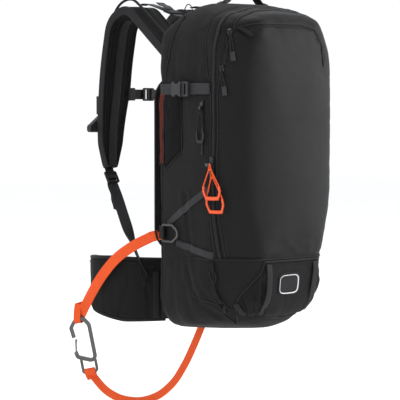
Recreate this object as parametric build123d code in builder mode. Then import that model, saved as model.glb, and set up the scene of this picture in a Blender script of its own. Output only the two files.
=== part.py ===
from build123d import *
import os
from math import atan2, cos, degrees, radians, sin

# Avalanche airbag backpack, millimetres.
# Origin: lower middle of the face that rests on the wearer's back. +Z is up, +Y points from the
# pack into the wearer's back, and the wearer's left is -X. The bag lies on the -Y side.

# Bag
pack_height = 585
half_width = 133
rear_wall_y = -16
zip_plane_y = -168
corner_y = -212
front_y = -240
bag_wall = 3.5
fold_height = 138
panel_gap = 0.4
zip_depth = 7

# Back system
back_pad_half_width = 133
back_pad_top = 452
back_pad_bottom = 142
stay_offset = 62

# Harness
strap_thickness = 14
webbing_thickness = 2
webbing_width = 20
belt_centre_y = 117
belt_half_x = 160
belt_half_y = 117
belt_thickness = 13
sternum_height = 424
sternum_y = 180

# Leg strap
leg_thickness = 2
leg_width = 20

# Airbag drive
blower_height = 430
blower_radius = 44

os.makedirs("parts", exist_ok=True)


def save(piece, node):
    """Label a finished piece and write its STEP file."""
    piece.part.label = node
    export_step(piece.part, f"parts/{node}.step")


def bag_volume(inset):
    """The stuffed bag as one closed solid, drawn in several views and moved in by inset."""
    with BuildPart() as volume:
        with BuildSketch() as plan:
            with BuildLine():
                FilletPolyline(
                    (-half_width, rear_wall_y),
                    (-half_width, corner_y),
                    (0, front_y - 6),
                    (half_width, corner_y),
                    (half_width, rear_wall_y),
                    radius=[18, 72, 300, 72, 18],
                    close=True,
                )
            make_face()
            offset(amount=-inset)
        extrude(amount=pack_height + 20)
        with BuildSketch(Plane.XZ) as front_view:
            with BuildLine():
                FilletPolyline(
                    (-half_width + 3, 0),
                    (half_width - 3, 0),
                    (half_width + 1, 300),
                    (half_width - 4, pack_height),
                    (-half_width + 4, pack_height),
                    (-half_width - 1, 300),
                    radius=[56, 56, 900, 78, 78, 900],
                    close=True,
                )
            make_face()
            offset(amount=-inset)
        extrude(amount=2 * pack_height, both=True, mode=Mode.INTERSECT)
        with BuildSketch(Plane.YZ) as side_view:
            with BuildLine():
                FilletPolyline(
                    (rear_wall_y, 0),
                    (corner_y, 8),
                    (front_y, 250),
                    (front_y + 12, pack_height - 26),
                    (-84, pack_height + 3),
                    (rear_wall_y, pack_height - 56),
                    radius=[22, 74, 900, 44, 90, 26],
                    close=True,
                )
            make_face()
            offset(amount=-inset)
        extrude(amount=2 * pack_height, both=True, mode=Mode.INTERSECT)
        # Each front corner seen square on: it draws in towards the base and the top
        for side in (-1, 1):
            corner_plane = Plane(origin=(0, 0, 0), x_dir=(side * 0.766, -0.643, 0), z_dir=(-0.643, -side * 0.766, 0))
            with BuildSketch(corner_plane):
                with BuildLine():
                    FilletPolyline(
                        (-400, -4),
                        (58, -4),
                        (146, 18),
                        (190, 70),
                        (217, 240),
                        (217, 486),
                        (196, 554),
                        (110, 584),
                        (-400, 640),
                        radius=[1, 50, 44, 90, 300, 100, 28, 90, 1],
                        close=True,
                    )
                make_face()
                offset(amount=-inset)
            extrude(amount=2 * pack_height, both=True, mode=Mode.INTERSECT)
    return volume.part


outer_bag = bag_volume(0)
inner_bag = bag_volume(bag_wall)
coil_outer = bag_volume(-1.2)
coil_inner = bag_volume(bag_wall + 1)


# ---------------------------------------------------------------- the bag

# Room in front of the opening's plane and above the fold line
with BuildPart() as door_space:
    with BuildSketch(Plane.XZ.offset(-zip_plane_y)):
        with Locations((0, fold_height + pack_height / 2)):
            Rectangle(4 * half_width, pack_height)
    extrude(amount=200)

with BuildPart() as main_bag:
    add(outer_bag)
    add(inner_bag, mode=Mode.SUBTRACT)
    add(door_space.part, mode=Mode.SUBTRACT)
save(main_bag, "main_bag")

# Coil and tape of the main opening, a U round the top and both sides
with BuildPart() as main_zip:
    with BuildSketch(Plane.XZ.offset(-zip_plane_y)):
        with Locations((0, fold_height + panel_gap + pack_height / 2)):
            Rectangle(4 * half_width, pack_height)
    extrude(amount=zip_depth)
    add(coil_outer, mode=Mode.INTERSECT)
    add(coil_inner, mode=Mode.SUBTRACT)
save(main_zip, "main_zip_coil")

# Front panel: a dome that unzips and folds down about its lower edge
front_start = zip_plane_y - zip_depth - panel_gap
with BuildPart() as front_panel:
    with BuildSketch(Plane.XZ.offset(-front_start)):
        with Locations((0, fold_height + panel_gap + pack_height / 2)):
            Rectangle(4 * half_width, pack_height)
    extrude(amount=200)
    add(outer_bag, mode=Mode.INTERSECT)
    add(inner_bag, mode=Mode.SUBTRACT)
save(front_panel, "front_panel")

# Reinforced skin over the lower front, standing on the bag's wall
lower_skin_top = fold_height - 6
with BuildPart() as lower_skin:
    with BuildSketch(Plane.XZ.offset(-zip_plane_y + 6)):
        with Locations((0, (30 + lower_skin_top) / 2)):
            Rectangle(2 * half_width - 36, lower_skin_top - 30)
    extrude(amount=200)
    add(bag_volume(-2), mode=Mode.INTERSECT)
    add(outer_bag, mode=Mode.SUBTRACT)
save(lower_skin, "lower_front_skin")


def face_pad(centre_x, centre_z, width, height, thickness, lift=0.0):
    """A thin patch that follows the front of the bag, lifted off it by lift."""
    with BuildPart() as patch:
        with BuildSketch(Plane.XZ.offset(-zip_plane_y + 20)):
            with Locations((centre_x, centre_z)):
                RectangleRounded(width, height, min(width, height) * 0.2)
        extrude(amount=200)
        add(bag_volume(-lift - thickness), mode=Mode.INTERSECT)
        add(bag_volume(-lift), mode=Mode.SUBTRACT)
    return patch


# Plain woven label patch on the lower front
badge = face_pad(-6, 91, 34, 30, 1.2, lift=2)
save(badge, "label_patch")

# Two tool loops of webbing on the lower front
tool_loop_x = 52
with BuildPart() as tool_loops:
    for side in (-1, 1):
        add(face_pad(side * tool_loop_x, 84, 12, 80, 1.8, lift=2).part)
save(tool_loops, "tool_loops")

# Front pocket: its zip coil across the top of the front panel
pocket_zip_z = 536
pocket_zip_half = 76
pocket_zip = face_pad(4, pocket_zip_z, 2 * pocket_zip_half, 7, 1.4)
save(pocket_zip, "pocket_zip_coil")


# ---------------------------------------------------------------- back system

# Padding that rests on the wearer's back, two columns joined across the top and the bottom
with BuildPart() as back_pad:
    with BuildSketch(Plane.XZ.offset(-rear_wall_y)):
        with Locations((0, (back_pad_top + back_pad_bottom) / 2)):
            RectangleRounded(2 * back_pad_half_width, back_pad_top - back_pad_bottom, 40)
            SlotCenterToCenter(190, 34, rotation=90, mode=Mode.SUBTRACT)
    extrude(amount=rear_wall_y)
    fillet(back_pad.faces().sort_by(Axis.Y)[-1].edges(), 5)
save(back_pad, "back_pad")

with BuildPart() as lumbar_pad:
    with BuildSketch(Plane.XZ.offset(-rear_wall_y)):
        with Locations((0, 82)):
            RectangleRounded(150, 104, 30)
    extrude(amount=-14)
    fillet(lumbar_pad.faces().sort_by(Axis.Y)[-1].edges(), 5)
save(lumbar_pad, "lumbar_pad")

# Stiff sheet inside the bag, against its rear wall
sheet_face = rear_wall_y - bag_wall
with BuildPart() as frame_sheet:
    with BuildSketch(Plane.XZ.offset(-sheet_face)):
        with Locations((0, 272)):
            RectangleRounded(2 * (half_width - 26), 454, 26)
    extrude(amount=2.5)
save(frame_sheet, "frame_sheet")

# Two aluminium stays riveted along the sheet
stay_face = sheet_face - 2.5
with BuildPart() as frame_stays:
    with BuildSketch(Plane.XZ.offset(-stay_face)):
        with Locations((-stay_offset, 272), (stay_offset, 272)):
            SlotOverall(430, 14, rotation=90)
    extrude(amount=3)
save(frame_stays, "frame_stays")


# ---------------------------------------------------------------- airbag drive inside the bag

drive_face = stay_face - 3.4
with BuildPart() as blower_housing:
    with BuildSketch(Plane.XZ.offset(-drive_face)):
        with Locations((0, blower_height)):
            Circle(blower_radius + 8)
        with Locations((-40, blower_height + 26)):
            Rectangle(80, 52)
    extrude(amount=42)
    with BuildSketch(Plane.XZ.offset(-drive_face + 3)):
        with Locations((0, blower_height)):
            Circle(blower_radius + 4)
        with Locations((-50, blower_height + 26)):
            Rectangle(90, 40)
    extrude(amount=36, mode=Mode.SUBTRACT)
    with BuildSketch(Plane.XZ.offset(-drive_face + 38)):
        with Locations((0, blower_height)):
            Circle(28)
    extrude(amount=6, mode=Mode.SUBTRACT)
    with BuildSketch(Plane.XZ.offset(-drive_face + 3)):
        with Locations((0, blower_height)):
            Circle(4)
    extrude(amount=24)
save(blower_housing, "blower_housing")

# Radial impeller on the housing's shaft
with BuildPart() as impeller:
    with BuildSketch(Plane.XZ.offset(-drive_face + 5)):
        with Locations((0, blower_height)):
            Circle(blower_radius)
            Circle(4.05, mode=Mode.SUBTRACT)
    extrude(amount=3)
    with BuildSketch(Plane.XZ.offset(-drive_face + 8)):
        with Locations((0, blower_height)):
            Circle(13)
            Circle(4.05, mode=Mode.SUBTRACT)
            with PolarLocations(28, 11):
                Rectangle(30, 2, rotation=24)
    extrude(amount=18)
save(impeller, "impeller")

with BuildPart() as energy_pack:
    with BuildSketch(Plane.XZ.offset(-drive_face)):
        with Locations((0, 330)):
            RectangleRounded(112, 84, 8)
    extrude(amount=40)
    fillet(energy_pack.faces().sort_by(Axis.Y)[0].edges(), 3)
    with BuildSketch(Plane.XZ.offset(-drive_face + 40)):
        with Locations((30, 330)):
            Circle(6)
    extrude(amount=8)
save(energy_pack, "energy_pack")

# System switch: a knob on the energy pack's spigot
knob_y = drive_face - 40

with BuildPart() as switch_knob:
    with BuildSketch(Plane.XZ.offset(-knob_y + 0.4)):
        with Locations((30, 330)):
            Circle(14)
            Circle(6.05, mode=Mode.SUBTRACT)
    extrude(amount=9)
    with BuildSketch(Plane.XZ.offset(-knob_y + 9.4)):
        with Locations((30, 330)):
            SlotOverall(26, 7, rotation=90)
    extrude(amount=5)
save(switch_knob, "switch_knob")

# Folded balloon in its sleeve under the top and down the left side
with BuildPart() as folded_airbag:
    with BuildSketch(Plane.XZ.offset(-drive_face + 2)):
        with BuildLine():
            FilletPolyline(
                (-118, 300),
                (-84, 300),
                (-84, 506),
                (84, 506),
                (84, 300),
                (118, 300),
                (118, 546),
                (-118, 546),
                radius=[12, 12, 18, 18, 12, 12, 40, 40],
                close=True,
            )
        make_face()
    extrude(amount=60)
    add(bag_volume(bag_wall + 1.5), mode=Mode.INTERSECT)
save(folded_airbag, "folded_airbag")


# ---------------------------------------------------------------- side hardware


def mirrored(piece):
    """The same piece on the other side of the pack."""
    with BuildPart() as other:
        mirror(piece.part, about=Plane.YZ)
    return other


def pair(piece):
    """The piece and its mirror image as one group of separate solids."""
    with BuildPart() as both:
        add(piece.part)
        mirror(piece.part, about=Plane.YZ)
    return both


def band_along(plane, points, radii, width, thickness):
    """A band of constant section along a line drawn in plane; its width is across the plane."""
    with BuildPart() as band:
        with BuildLine(plane) as line:
            FilletPolyline(*points, radius=radii)
        with BuildSketch(Plane(origin=line.line @ 0, x_dir=plane.z_dir, z_dir=line.line % 0)):
            Rectangle(width, thickness)
        sweep()
    return band


def bar(start, end, width, thickness, width_direction):
    """A straight flat band from start to end, its width along width_direction."""
    run = Vector(*end) - Vector(*start)
    across = Vector(*width_direction) - run.normalized() * Vector(*width_direction).dot(run.normalized())
    with BuildPart() as band:
        with BuildSketch(Plane(origin=start, x_dir=across.normalized(), z_dir=run.normalized())):
            Rectangle(width, thickness)
        extrude(amount=run.length)
    return band


def side_patch(y_low, y_high, z_low, z_high, lift, thickness):
    """A patch that follows the left side of the bag."""
    with BuildPart() as patch:
        with BuildSketch(Plane.YZ.offset(-half_width + 30)):
            with Locations(((y_low + y_high) / 2, (z_low + z_high) / 2)):
                Rectangle(y_high - y_low, z_high - z_low)
        extrude(amount=-60)
        add(bag_volume(-lift - thickness), mode=Mode.INTERSECT)
        add(bag_volume(-lift), mode=Mode.SUBTRACT)
    return patch


def side_band(start, end, width, lift, thickness):
    """A slanting band on the left side of the bag, between two (y, z) points."""
    run = Vector(end[0] - start[0], end[1] - start[1])
    slant = degrees(atan2(run.Y, run.X))
    with BuildPart() as patch:
        with BuildSketch(Plane.YZ.offset(-half_width + 30)):
            with Locations(((start[0] + end[0]) / 2, (start[1] + end[1]) / 2)):
                Rectangle(run.length, width, rotation=slant)
        extrude(amount=-60)
        add(bag_volume(-lift - thickness), mode=Mode.INTERSECT)
        add(bag_volume(-lift), mode=Mode.SUBTRACT)
    return patch


# Dark red strip beside the back edge, the cover of the airbag's burst seam
burst_left = side_patch(-40, -22, 298, 440, 0, 1.5)
save(pair(burst_left), "burst_seams")

# Upper compression strap: rear webbing with the socket, front webbing with the plug
compression_z = 430
compression_out = half_width + 2.6
compression_rear = side_patch(-78, -18, compression_z - 10, compression_z + 10, 1.8, webbing_thickness)
save(pair(compression_rear), "compression_rear")


def socket(width, length, depth):
    """Side-release socket along +X from its mouth at the origin, open at the mouth and both sides."""
    with BuildPart() as shell:
        with BuildSketch(Plane.YZ):
            RectangleRounded(width, depth, depth * 0.3)
        extrude(amount=length)
        with BuildSketch(Plane.YZ):
            Rectangle(width - 5, depth - 4)
        extrude(amount=length - 8, mode=Mode.SUBTRACT)
        with BuildSketch(Plane.XY):
            with Locations((length * 0.45, width / 2), (length * 0.45, -width / 2)):
                SlotOverall(length * 0.5, 7)
        extrude(amount=depth, both=True, mode=Mode.SUBTRACT)
    return shell


def plug(width, length, depth):
    """Side-release plug: prongs along +X, the webbing bar on the -X side."""
    with BuildPart() as body:
        with BuildSketch(Plane.XY.offset(-depth / 2 + 2.6)):
            with Locations((-9, 0)):
                RectangleRounded(16, width, 2.5)
            with Locations((-10, 0)):
                Rectangle(5, width - 7, mode=Mode.SUBTRACT)
            prong = length * 0.6 + 3
            with Locations((prong / 2 - 3, 0)):
                Rectangle(prong, 4)
            with Locations((prong / 2 - 3, width / 2 - 4.6), (prong / 2 - 3, 4.6 - width / 2)):
                Rectangle(prong, 2.6)
        extrude(amount=depth - 5.2)
    return body


socket_mouth_y = -98
with BuildPart() as side_socket:
    add(
        socket(26, 24, 9).part.moved(
            Location(Plane(origin=(-compression_out - 5.6, socket_mouth_y, compression_z),
                           x_dir=(0, 1, 0), z_dir=(-1, 0, 0)))
        )
    )
save(pair(side_socket), "compression_sockets")

with BuildPart() as side_plug:
    add(
        plug(26, 24, 9).part.moved(
            Location(Plane(origin=(-compression_out - 5.6, socket_mouth_y, compression_z),
                           x_dir=(0, 1, 0), z_dir=(-1, 0, 0)))
        )
    )
save(side_plug, "compression_plug_left")
save(mirrored(side_plug), "compression_plug_right")

compression_front = side_patch(-163, -110, compression_z - 10, compression_z + 10, 1.8, webbing_thickness)
save(compression_front, "compression_front_left")
save(mirrored(compression_front), "compression_front_right")

# V strap over the side: two legs meeting at a ring near the back edge
ring_y = -52
ring_z = 176
with BuildPart() as v_strap:
    add(side_band((ring_y + 2, ring_z + 16), (-163, 258), 13, 0.2, 1.6).part)
    add(side_band((ring_y - 22, ring_z - 16), (-163, 142), 13, 0.2, 1.6).part)
save(pair(v_strap), "v_straps")

ring_out = half_width + 7.5
with BuildPart() as ring_tab:
    with BuildSketch(Plane.YZ.offset(-half_width + 30)):
        with Locations((ring_y + 20, ring_z)):
            Rectangle(26, 24)
    extrude(amount=-60)
    add(bag_volume(-3.6), mode=Mode.INTERSECT)
    add(bag_volume(-0.2), mode=Mode.SUBTRACT)
    with BuildSketch(Plane.XY.offset(ring_z - 12)):
        with Locations((-ring_out, ring_y + 8)):
            Circle(5)
    extrude(amount=24)
    with BuildSketch(Plane.XY.offset(ring_z - 13)):
        with Locations((-ring_out, ring_y + 8)):
            Circle(2.35)
    extrude(amount=26, mode=Mode.SUBTRACT)
save(pair(ring_tab), "ring_tabs")

with BuildPart() as ring:
    with BuildLine() as ring_path:
        FilletPolyline(
            (-ring_out, ring_y + 8, ring_z - 14.5),
            (-ring_out, ring_y + 8, ring_z + 14.5),
            (-ring_out, ring_y - 18, ring_z + 14.5),
            (-ring_out, ring_y - 32, ring_z + 5),
            (-ring_out, ring_y - 32, ring_z - 5),
            (-ring_out, ring_y - 18, ring_z - 14.5),
            radius=[2.4, 2.4, 7, 7, 7, 7],
            close=True,
        )
    with BuildSketch(Plane.XY.offset(ring_z)):
        with Locations((-ring_out, ring_y + 8)):
            Circle(2.25)
    sweep()
save(ring, "side_ring_left")
save(mirrored(ring), "side_ring_right")


# ---------------------------------------------------------------- zip sliders and pulls


def slider_body(y_mid, z_mid, eye_drop, eye_out):
    """Slider over a coil on the left side; its eye stands eye_out from the bag's side."""
    back = -half_width - 2.4
    with BuildPart() as body:
        with BuildSketch(Plane.YZ.offset(back)):
            with Locations((y_mid, z_mid)):
                SlotOverall(15, 8, rotation=90)
        extrude(amount=-2.4)
        with BuildSketch(Plane.YZ.offset(back - 2.4)):
            with Locations((y_mid, z_mid - eye_drop)):
                RectangleRounded(4, 6, 1)
        extrude(amount=-(eye_out + 2.1 - 4.8))
        with BuildSketch(Plane.XZ.offset(-y_mid - 3)):
            with Locations((-half_width - eye_out, z_mid - eye_drop)):
                Circle(1.5)
        extrude(amount=6, mode=Mode.SUBTRACT)
    return body


def pull(eye, drop, tab_width, tab_height, tab_depth, turn):
    """Pull hanging from an eye: a cord's two legs and a moulded U-shaped tab."""
    across = (sin(radians(turn)), -cos(radians(turn)), 0)
    outward = (-cos(radians(turn)), -sin(radians(turn)), 0)
    face = Plane(origin=eye, x_dir=across, z_dir=outward)
    tab_middle = -drop - tab_height / 2
    leg_low = -drop - tab_height * 0.4
    with BuildPart() as tab:
        with BuildSketch(face.offset(-tab_depth / 2)):
            with Locations((0, tab_middle)):
                RectangleRounded(tab_width, tab_height, tab_height * 0.36)
            with Locations((0, tab_middle + 4)):
                RectangleRounded(tab_width - 11, tab_height - 6, 3, mode=Mode.SUBTRACT)
            with Locations((0, -drop)):
                Rectangle(tab_width - 11, 8, mode=Mode.SUBTRACT)
        extrude(amount=tab_depth)
        with BuildSketch(face.offset(-1)):
            for side in (-1, 1):
                with BuildLine():
                    Polyline(
                        (side * 3.2, 1.1),
                        (side * 5.4, 1.1),
                        (side * (tab_width / 2 - 1.6), leg_low),
                        (side * (tab_width / 2 - 3.8), leg_low),
                        close=True,
                    )
                make_face()
        extrude(amount=2)
        with BuildSketch(Plane(origin=eye, z_dir=across)):
            Circle(0.8)
        extrude(amount=4.4, both=True)
    return tab


slider_y = zip_plane_y - zip_depth / 2
pull_turn = 18
slider_specs = (("upper", 306, 6, 14, 45, 34, 24, 4.4), ("lower", 286, 0, 8, 55, 34, 26, 4.0))
for name, height, eye_drop, eye_out, drop, tab_width, tab_height, tab_depth in slider_specs:
    eye = (-half_width - eye_out, slider_y, height - eye_drop)
    save(slider_body(slider_y, height, eye_drop, eye_out), f"main_slider_{name}")
    save(pull(eye, drop, tab_width, tab_height, tab_depth, pull_turn), f"main_pull_{name}")

# Short side zip beside the main one, with its slider and a dark pull
side_zip_y = -146
side_slider_z = 400
side_zip = side_patch(side_zip_y - 3, side_zip_y + 3, 316, 410, 0.1, 1.2)
save(side_zip, "side_zip_coil")
save(slider_body(side_zip_y, side_slider_z, 3, 7), "side_slider")
side_eye = (-half_width - 7, side_zip_y, side_slider_z - 3)
save(pull(side_eye, 40, 22, 20, 4.0, 0), "side_pull")


# ---------------------------------------------------------------- carrying harness


def ellipse_ring(grow_out, grow_in, z_low, z_high):
    """A wall that follows the wearer's waist, between two ellipses."""
    with BuildPart() as wall:
        with BuildSketch(Plane.XY.offset(z_low)):
            with Locations((0, belt_centre_y)):
                Ellipse(belt_half_x + grow_out, belt_half_y + grow_out)
                Ellipse(belt_half_x + grow_in, belt_half_y + grow_in, mode=Mode.SUBTRACT)
        extrude(amount=z_high - z_low)
    return wall


# Hip wing: padded, deep beside the pack and shallower towards the front
with BuildPart() as hip_wing:
    add(ellipse_ring(0, -belt_thickness, 0, 150).part)
    with BuildSketch(Plane.YZ):
        with BuildLine():
            FilletPolyline(
                (12, 10),
                (70, 8),
                (140, 22),
                (186, 48),
                (206, 62),
                (206, 104),
                (170, 122),
                (90, 126),
                (12, 122),
                radius=[1, 40, 40, 40, 8, 8, 60, 60, 1],
                close=True,
            )
        make_face()
    extrude(amount=-2 * belt_half_x, mode=Mode.INTERSECT)
    with BuildSketch():
        with Locations((-75.4 - 150, 100)):
            Rectangle(300, 400)
    extrude(amount=200, mode=Mode.INTERSECT)
save(hip_wing, "hip_wing_left")
save(mirrored(hip_wing), "hip_wing_right")

# Hip webbing from each wing to the buckle in front
buckle_y = belt_centre_y + belt_half_y - 4
buckle_z = 84
for side, node in ((-1, "hip_webbing_left"), (1, "hip_webbing_right")):
    near = 29 if side < 0 else 31.5
    with BuildPart() as hip_webbing:
        add(ellipse_ring(-4, -4 - webbing_thickness, buckle_z - 12, buckle_z + 12).part)
        with BuildSketch():
            with Locations((side * (near + 100), 206.4 + 60)):
                Rectangle(200, 120)
        extrude(amount=200, mode=Mode.INTERSECT)
    save(hip_webbing, node)

hip_plane = Plane(origin=(14, buckle_y + 1.6, buckle_z), x_dir=(-1, 0, 0), z_dir=(0, 1, 0))
with BuildPart() as hip_socket:
    add(socket(36, 42, 11).part.moved(Location(hip_plane)))
save(hip_socket, "hip_buckle_socket")
with BuildPart() as hip_plug:
    add(plug(36, 42, 11).part.moved(Location(hip_plane)))
save(hip_plug, "hip_buckle_plug")

# Shoulder strap: its side view is a band that rises from the back and falls over the chest
strap_points = [
    (-8.6, 466),
    (-8.6, 492),
    (60, 541),
    (118, 584),
    (168, 562),
    (sternum_y, 472),
    (sternum_y, 376),
    (166, 286),
]
with BuildPart() as strap:
    add(band_along(Plane.YZ.offset(-75), strap_points, [20, 90, 34, 36, 150, 200], 110, strap_thickness).part)
    with BuildSketch(Plane.XZ):
        with BuildLine():
            FilletPolyline(
                (-96, 620),
                (-110, 420),
                (-117, 330),
                (-110, 284),
                (-88, 284),
                (-70, 330),
                (-46, 430),
                (-32, 620),
                radius=[1, 200, 60, 8, 8, 60, 200, 1],
                close=True,
            )
        make_face()
    extrude(amount=400, both=True, mode=Mode.INTERSECT)
save(strap, "shoulder_strap_left")
save(mirrored(strap), "shoulder_strap_right")

# Load lifter: webbing from the top of the bag to the strap, through a ladder lock
lifter_x = -62
lifter_top = (lifter_x, 110, 592)
lifter_lock_centre = (lifter_x, 24, 566)
lifter_root = (lifter_x, rear_wall_y + 1, 560)


def ladder_lock(centre, run, width):
    """Ladder lock in the plane that holds run and X: a frame with a middle bar."""
    direction = Vector(*run).normalized()
    plane = Plane(origin=centre, x_dir=(1, 0, 0), z_dir=direction.cross(Vector(1, 0, 0)))
    with BuildPart() as lock:
        with BuildSketch(plane):
            RectangleRounded(width + 7, 24, 3)
            with Locations((0, 6), (0, -5.5)):
                Rectangle(width + 0.8, 5.6, mode=Mode.SUBTRACT)
        extrude(amount=2.5, both=True)
        fillet(lock.edges().filter_by(GeomType.CIRCLE), 1)
    return lock


with BuildPart() as load_lifter:
    add(bar(lifter_lock_centre, lifter_top, webbing_width, webbing_thickness, (1, 0, 0)).part)
    add(bar(lifter_root, lifter_lock_centre, webbing_width, webbing_thickness, (1, 0, 0)).part)
save(pair(load_lifter), "load_lifters")

lifter_lock = ladder_lock((lifter_x, 24.8, 572), (0, 86, 26), webbing_width)
save(pair(lifter_lock), "lifter_locks")

# Lower webbing from the strap's end to the rear of the hip wing, through a ladder lock
strap_end = (-101, 150, 248)
wing_edge = (-130.5, 42, 131)
anchor = (-113, 27, 90)
with BuildPart() as lower_webbing:
    add(bar(strap_end, wing_edge, webbing_width, webbing_thickness, (-0.64, -0.77, 0)).part)
    add(bar(wing_edge, anchor, webbing_width, webbing_thickness, (-0.75, 0.66, 0)).part)
save(pair(lower_webbing), "lower_webbings")

adjuster = ladder_lock((-100, 160, 268), (0, -90, -140), webbing_width)
save(pair(adjuster), "strap_adjusters")

# Haul loop of webbing on the top of the bag
haul_points = [(-42, 582), (-28, 599), (28, 599), (42, 582)]
with BuildPart() as haul_loop:
    add(band_along(Plane.XZ.offset(98), haul_points, [16, 16], 20, 3).part)
    add(outer_bag, mode=Mode.SUBTRACT)
save(haul_loop, "haul_loop")

# Sternum strap: a clip that slides on each shoulder strap's inner edge, webbing and a buckle
clip_inner = 36
clip_outer = 50.6
strap_edge = 43.4
lip_gap = strap_thickness / 2 + 0.9
with BuildPart() as rail_clip:
    with BuildSketch(Plane.XY.offset(sternum_height - 12)):
        with Locations((-(clip_inner + clip_outer) / 2, sternum_y)):
            RectangleRounded(clip_outer - clip_inner, 22, 2)
        with Locations((-strap_edge - 5, sternum_y)):
            Rectangle(10, 2 * lip_gap, mode=Mode.SUBTRACT)
    extrude(amount=24)
save(rail_clip, "sternum_clip_left")
save(mirrored(rail_clip), "sternum_clip_right")

left_web_y = sternum_y + 3.4
with BuildPart() as sternum_left:
    add(bar((-clip_inner, left_web_y, sternum_height), (-2, left_web_y, sternum_height), 19, 2, (0, 0, 1)).part)
save(sternum_left, "sternum_webbing_left")
right_web_y = sternum_y + 5.9
with BuildPart() as sternum_right:
    add(bar((20, right_web_y, sternum_height), (clip_inner, right_web_y, sternum_height), 19, 2, (0, 0, 1)).part)
save(sternum_right, "sternum_webbing_right")

sternum_plane = Plane(origin=(7.8, sternum_y, sternum_height), x_dir=(1, 0, 0), z_dir=(0, 1, 0))
with BuildPart() as sternum_socket:
    add(socket(25, 28, 9).part.moved(Location(sternum_plane)))
save(sternum_socket, "sternum_socket")
with BuildPart() as sternum_plug:
    add(plug(25, 28, 9).part.moved(Location(sternum_plane)))
save(sternum_plug, "sternum_plug")


# ---------------------------------------------------------------- release handle and its cable

handle_z = 372
handle_y = 196
with BuildPart() as handle_mount:
    with BuildSketch(Plane.XY.offset(handle_z + 14)):
        with Locations((-92, handle_y)):
            RectangleRounded(26, 16, 4)
            Circle(4.6, mode=Mode.SUBTRACT)
    extrude(amount=34)
save(handle_mount, "handle_socket")

# T-shaped handle: a stem in the socket and a flared grip below it
with BuildPart() as handle:
    with BuildSketch(Plane.XY.offset(handle_z + 13.6)):
        with Locations((-92, handle_y)):
            Circle(4.55)
    extrude(amount=30)
    with BuildSketch(Plane.XZ.offset(-handle_y - 6)):
        with BuildLine():
            FilletPolyline(
                (-100, handle_z + 13.6),
                (-128, handle_z - 8),
                (-128, handle_z - 20),
                (-70, handle_z - 20),
                (-70, handle_z - 8),
                (-84, handle_z + 13.6),
                radius=[3, 5, 5, 5, 5, 3],
                close=True,
            )
        make_face()
    extrude(amount=12)
    fillet(handle.faces().filter_by(Axis.Y).edges(), 2.4)
save(handle, "release_handle")

# Release cable: from the handle's socket over the shoulder and into the bag
cable_radius = 2.5
cable_route = [
    (-92, handle_y, handle_z + 48),
    (-90, handle_y - 1, 470),
    (-84, handle_y - 3, 522),
    (-82, 184, 564),
    (-81, 160, 594),
    (-81, 122, 603),
    (-82, 84, 579),
    (-83, 48, 552),
    (-84, 16, 529),
    (-84, rear_wall_y, 512),
]


def arc_radii(points):
    """For each corner, 0.45 of the shorter run over the tangent of half the turn."""
    radii = []
    for before, here, after in zip(points, points[1:], points[2:]):
        first = Vector(*here) - Vector(*before)
        second = Vector(*after) - Vector(*here)
        turn = first.get_angle(second)
        shorter = min(first.length, second.length)
        half_turn = radians(turn / 2)
        radii.append(0.45 * shorter * cos(half_turn) / sin(half_turn))
    return radii


def tube(route, radius):
    """Round cord along a route of straight runs and tangent arcs."""
    with BuildPart() as cord:
        with BuildLine() as line:
            FilletPolyline(*route, radius=arc_radii(route))
        with BuildSketch(Plane(origin=line.line @ 0, z_dir=line.line % 0)):
            Circle(radius)
        sweep()
    length = Wire(line.line.edges()).length
    print("cord length", round(length, 1), "radii", [round(r, 1) for r in arc_radii(route)])
    return cord


save(tube(cable_route, cable_radius), "release_cable")


# ---------------------------------------------------------------- leg strap and carabiner

clip_plane_centre = (-167, 156, -43)
carabiner_turn = radians(40)
carabiner_lean = radians(11)
carabiner_plane = Plane(
    origin=clip_plane_centre,
    x_dir=(
        cos(carabiner_turn) * cos(carabiner_lean),
        -sin(carabiner_turn) * cos(carabiner_lean),
        sin(carabiner_lean),
    ),
    z_dir=(-sin(carabiner_turn), -cos(carabiner_turn), 0),
)

# Hook in its own plane: spine on the +x side, nose on the -x side, webbing slot below
spine_points = [
    (-17, 17),
    (-19, 36),
    (-8, 50),
    (6, 50),
    (15, 36),
    (15, -34),
    (-17, -20),
    (-19, -10),
]
slot_points = [(14, -30), (14, -52), (-12, -52), (-12, -26)]
with BuildPart() as carabiner:
    add(band_along(carabiner_plane, spine_points, [6, 12, 11, 14, 8, 5], 8, 7).part)
    add(band_along(carabiner_plane, slot_points, [5, 5], 7, 5).part)
    with BuildSketch(carabiner_plane.offset(-7)):
        with Locations((-18.6, -13)):
            Circle(1.4)
    extrude(amount=14)
save(carabiner, "carabiner_body")

with BuildPart() as gate:
    with BuildSketch(carabiner_plane.offset(4.6)):
        with Locations((-16.5, 0)):
            Rectangle(2.4, 26, rotation=-9)
        with Locations((-18.6, -13)):
            Circle(2.6)
            Circle(1.45, mode=Mode.SUBTRACT)
    extrude(amount=2)
    with BuildSketch(carabiner_plane.offset(-6.6)):
        with Locations((-16.5, 0)):
            Rectangle(2.4, 26, rotation=-9)
        with Locations((-18.6, -13)):
            Circle(2.6)
            Circle(1.45, mode=Mode.SUBTRACT)
    extrude(amount=2)
    with BuildSketch(carabiner_plane.offset(-6.6)):
        with Locations((-13.4, 10.5)):
            Rectangle(2.2, 4)
    extrude(amount=13.2)
save(gate, "carabiner_gate")


def local(point):
    """A point of the carabiner's plane in the pack's frame."""
    return tuple(carabiner_plane.from_local_coords(Vector(point[0], point[1], 0)))


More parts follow.
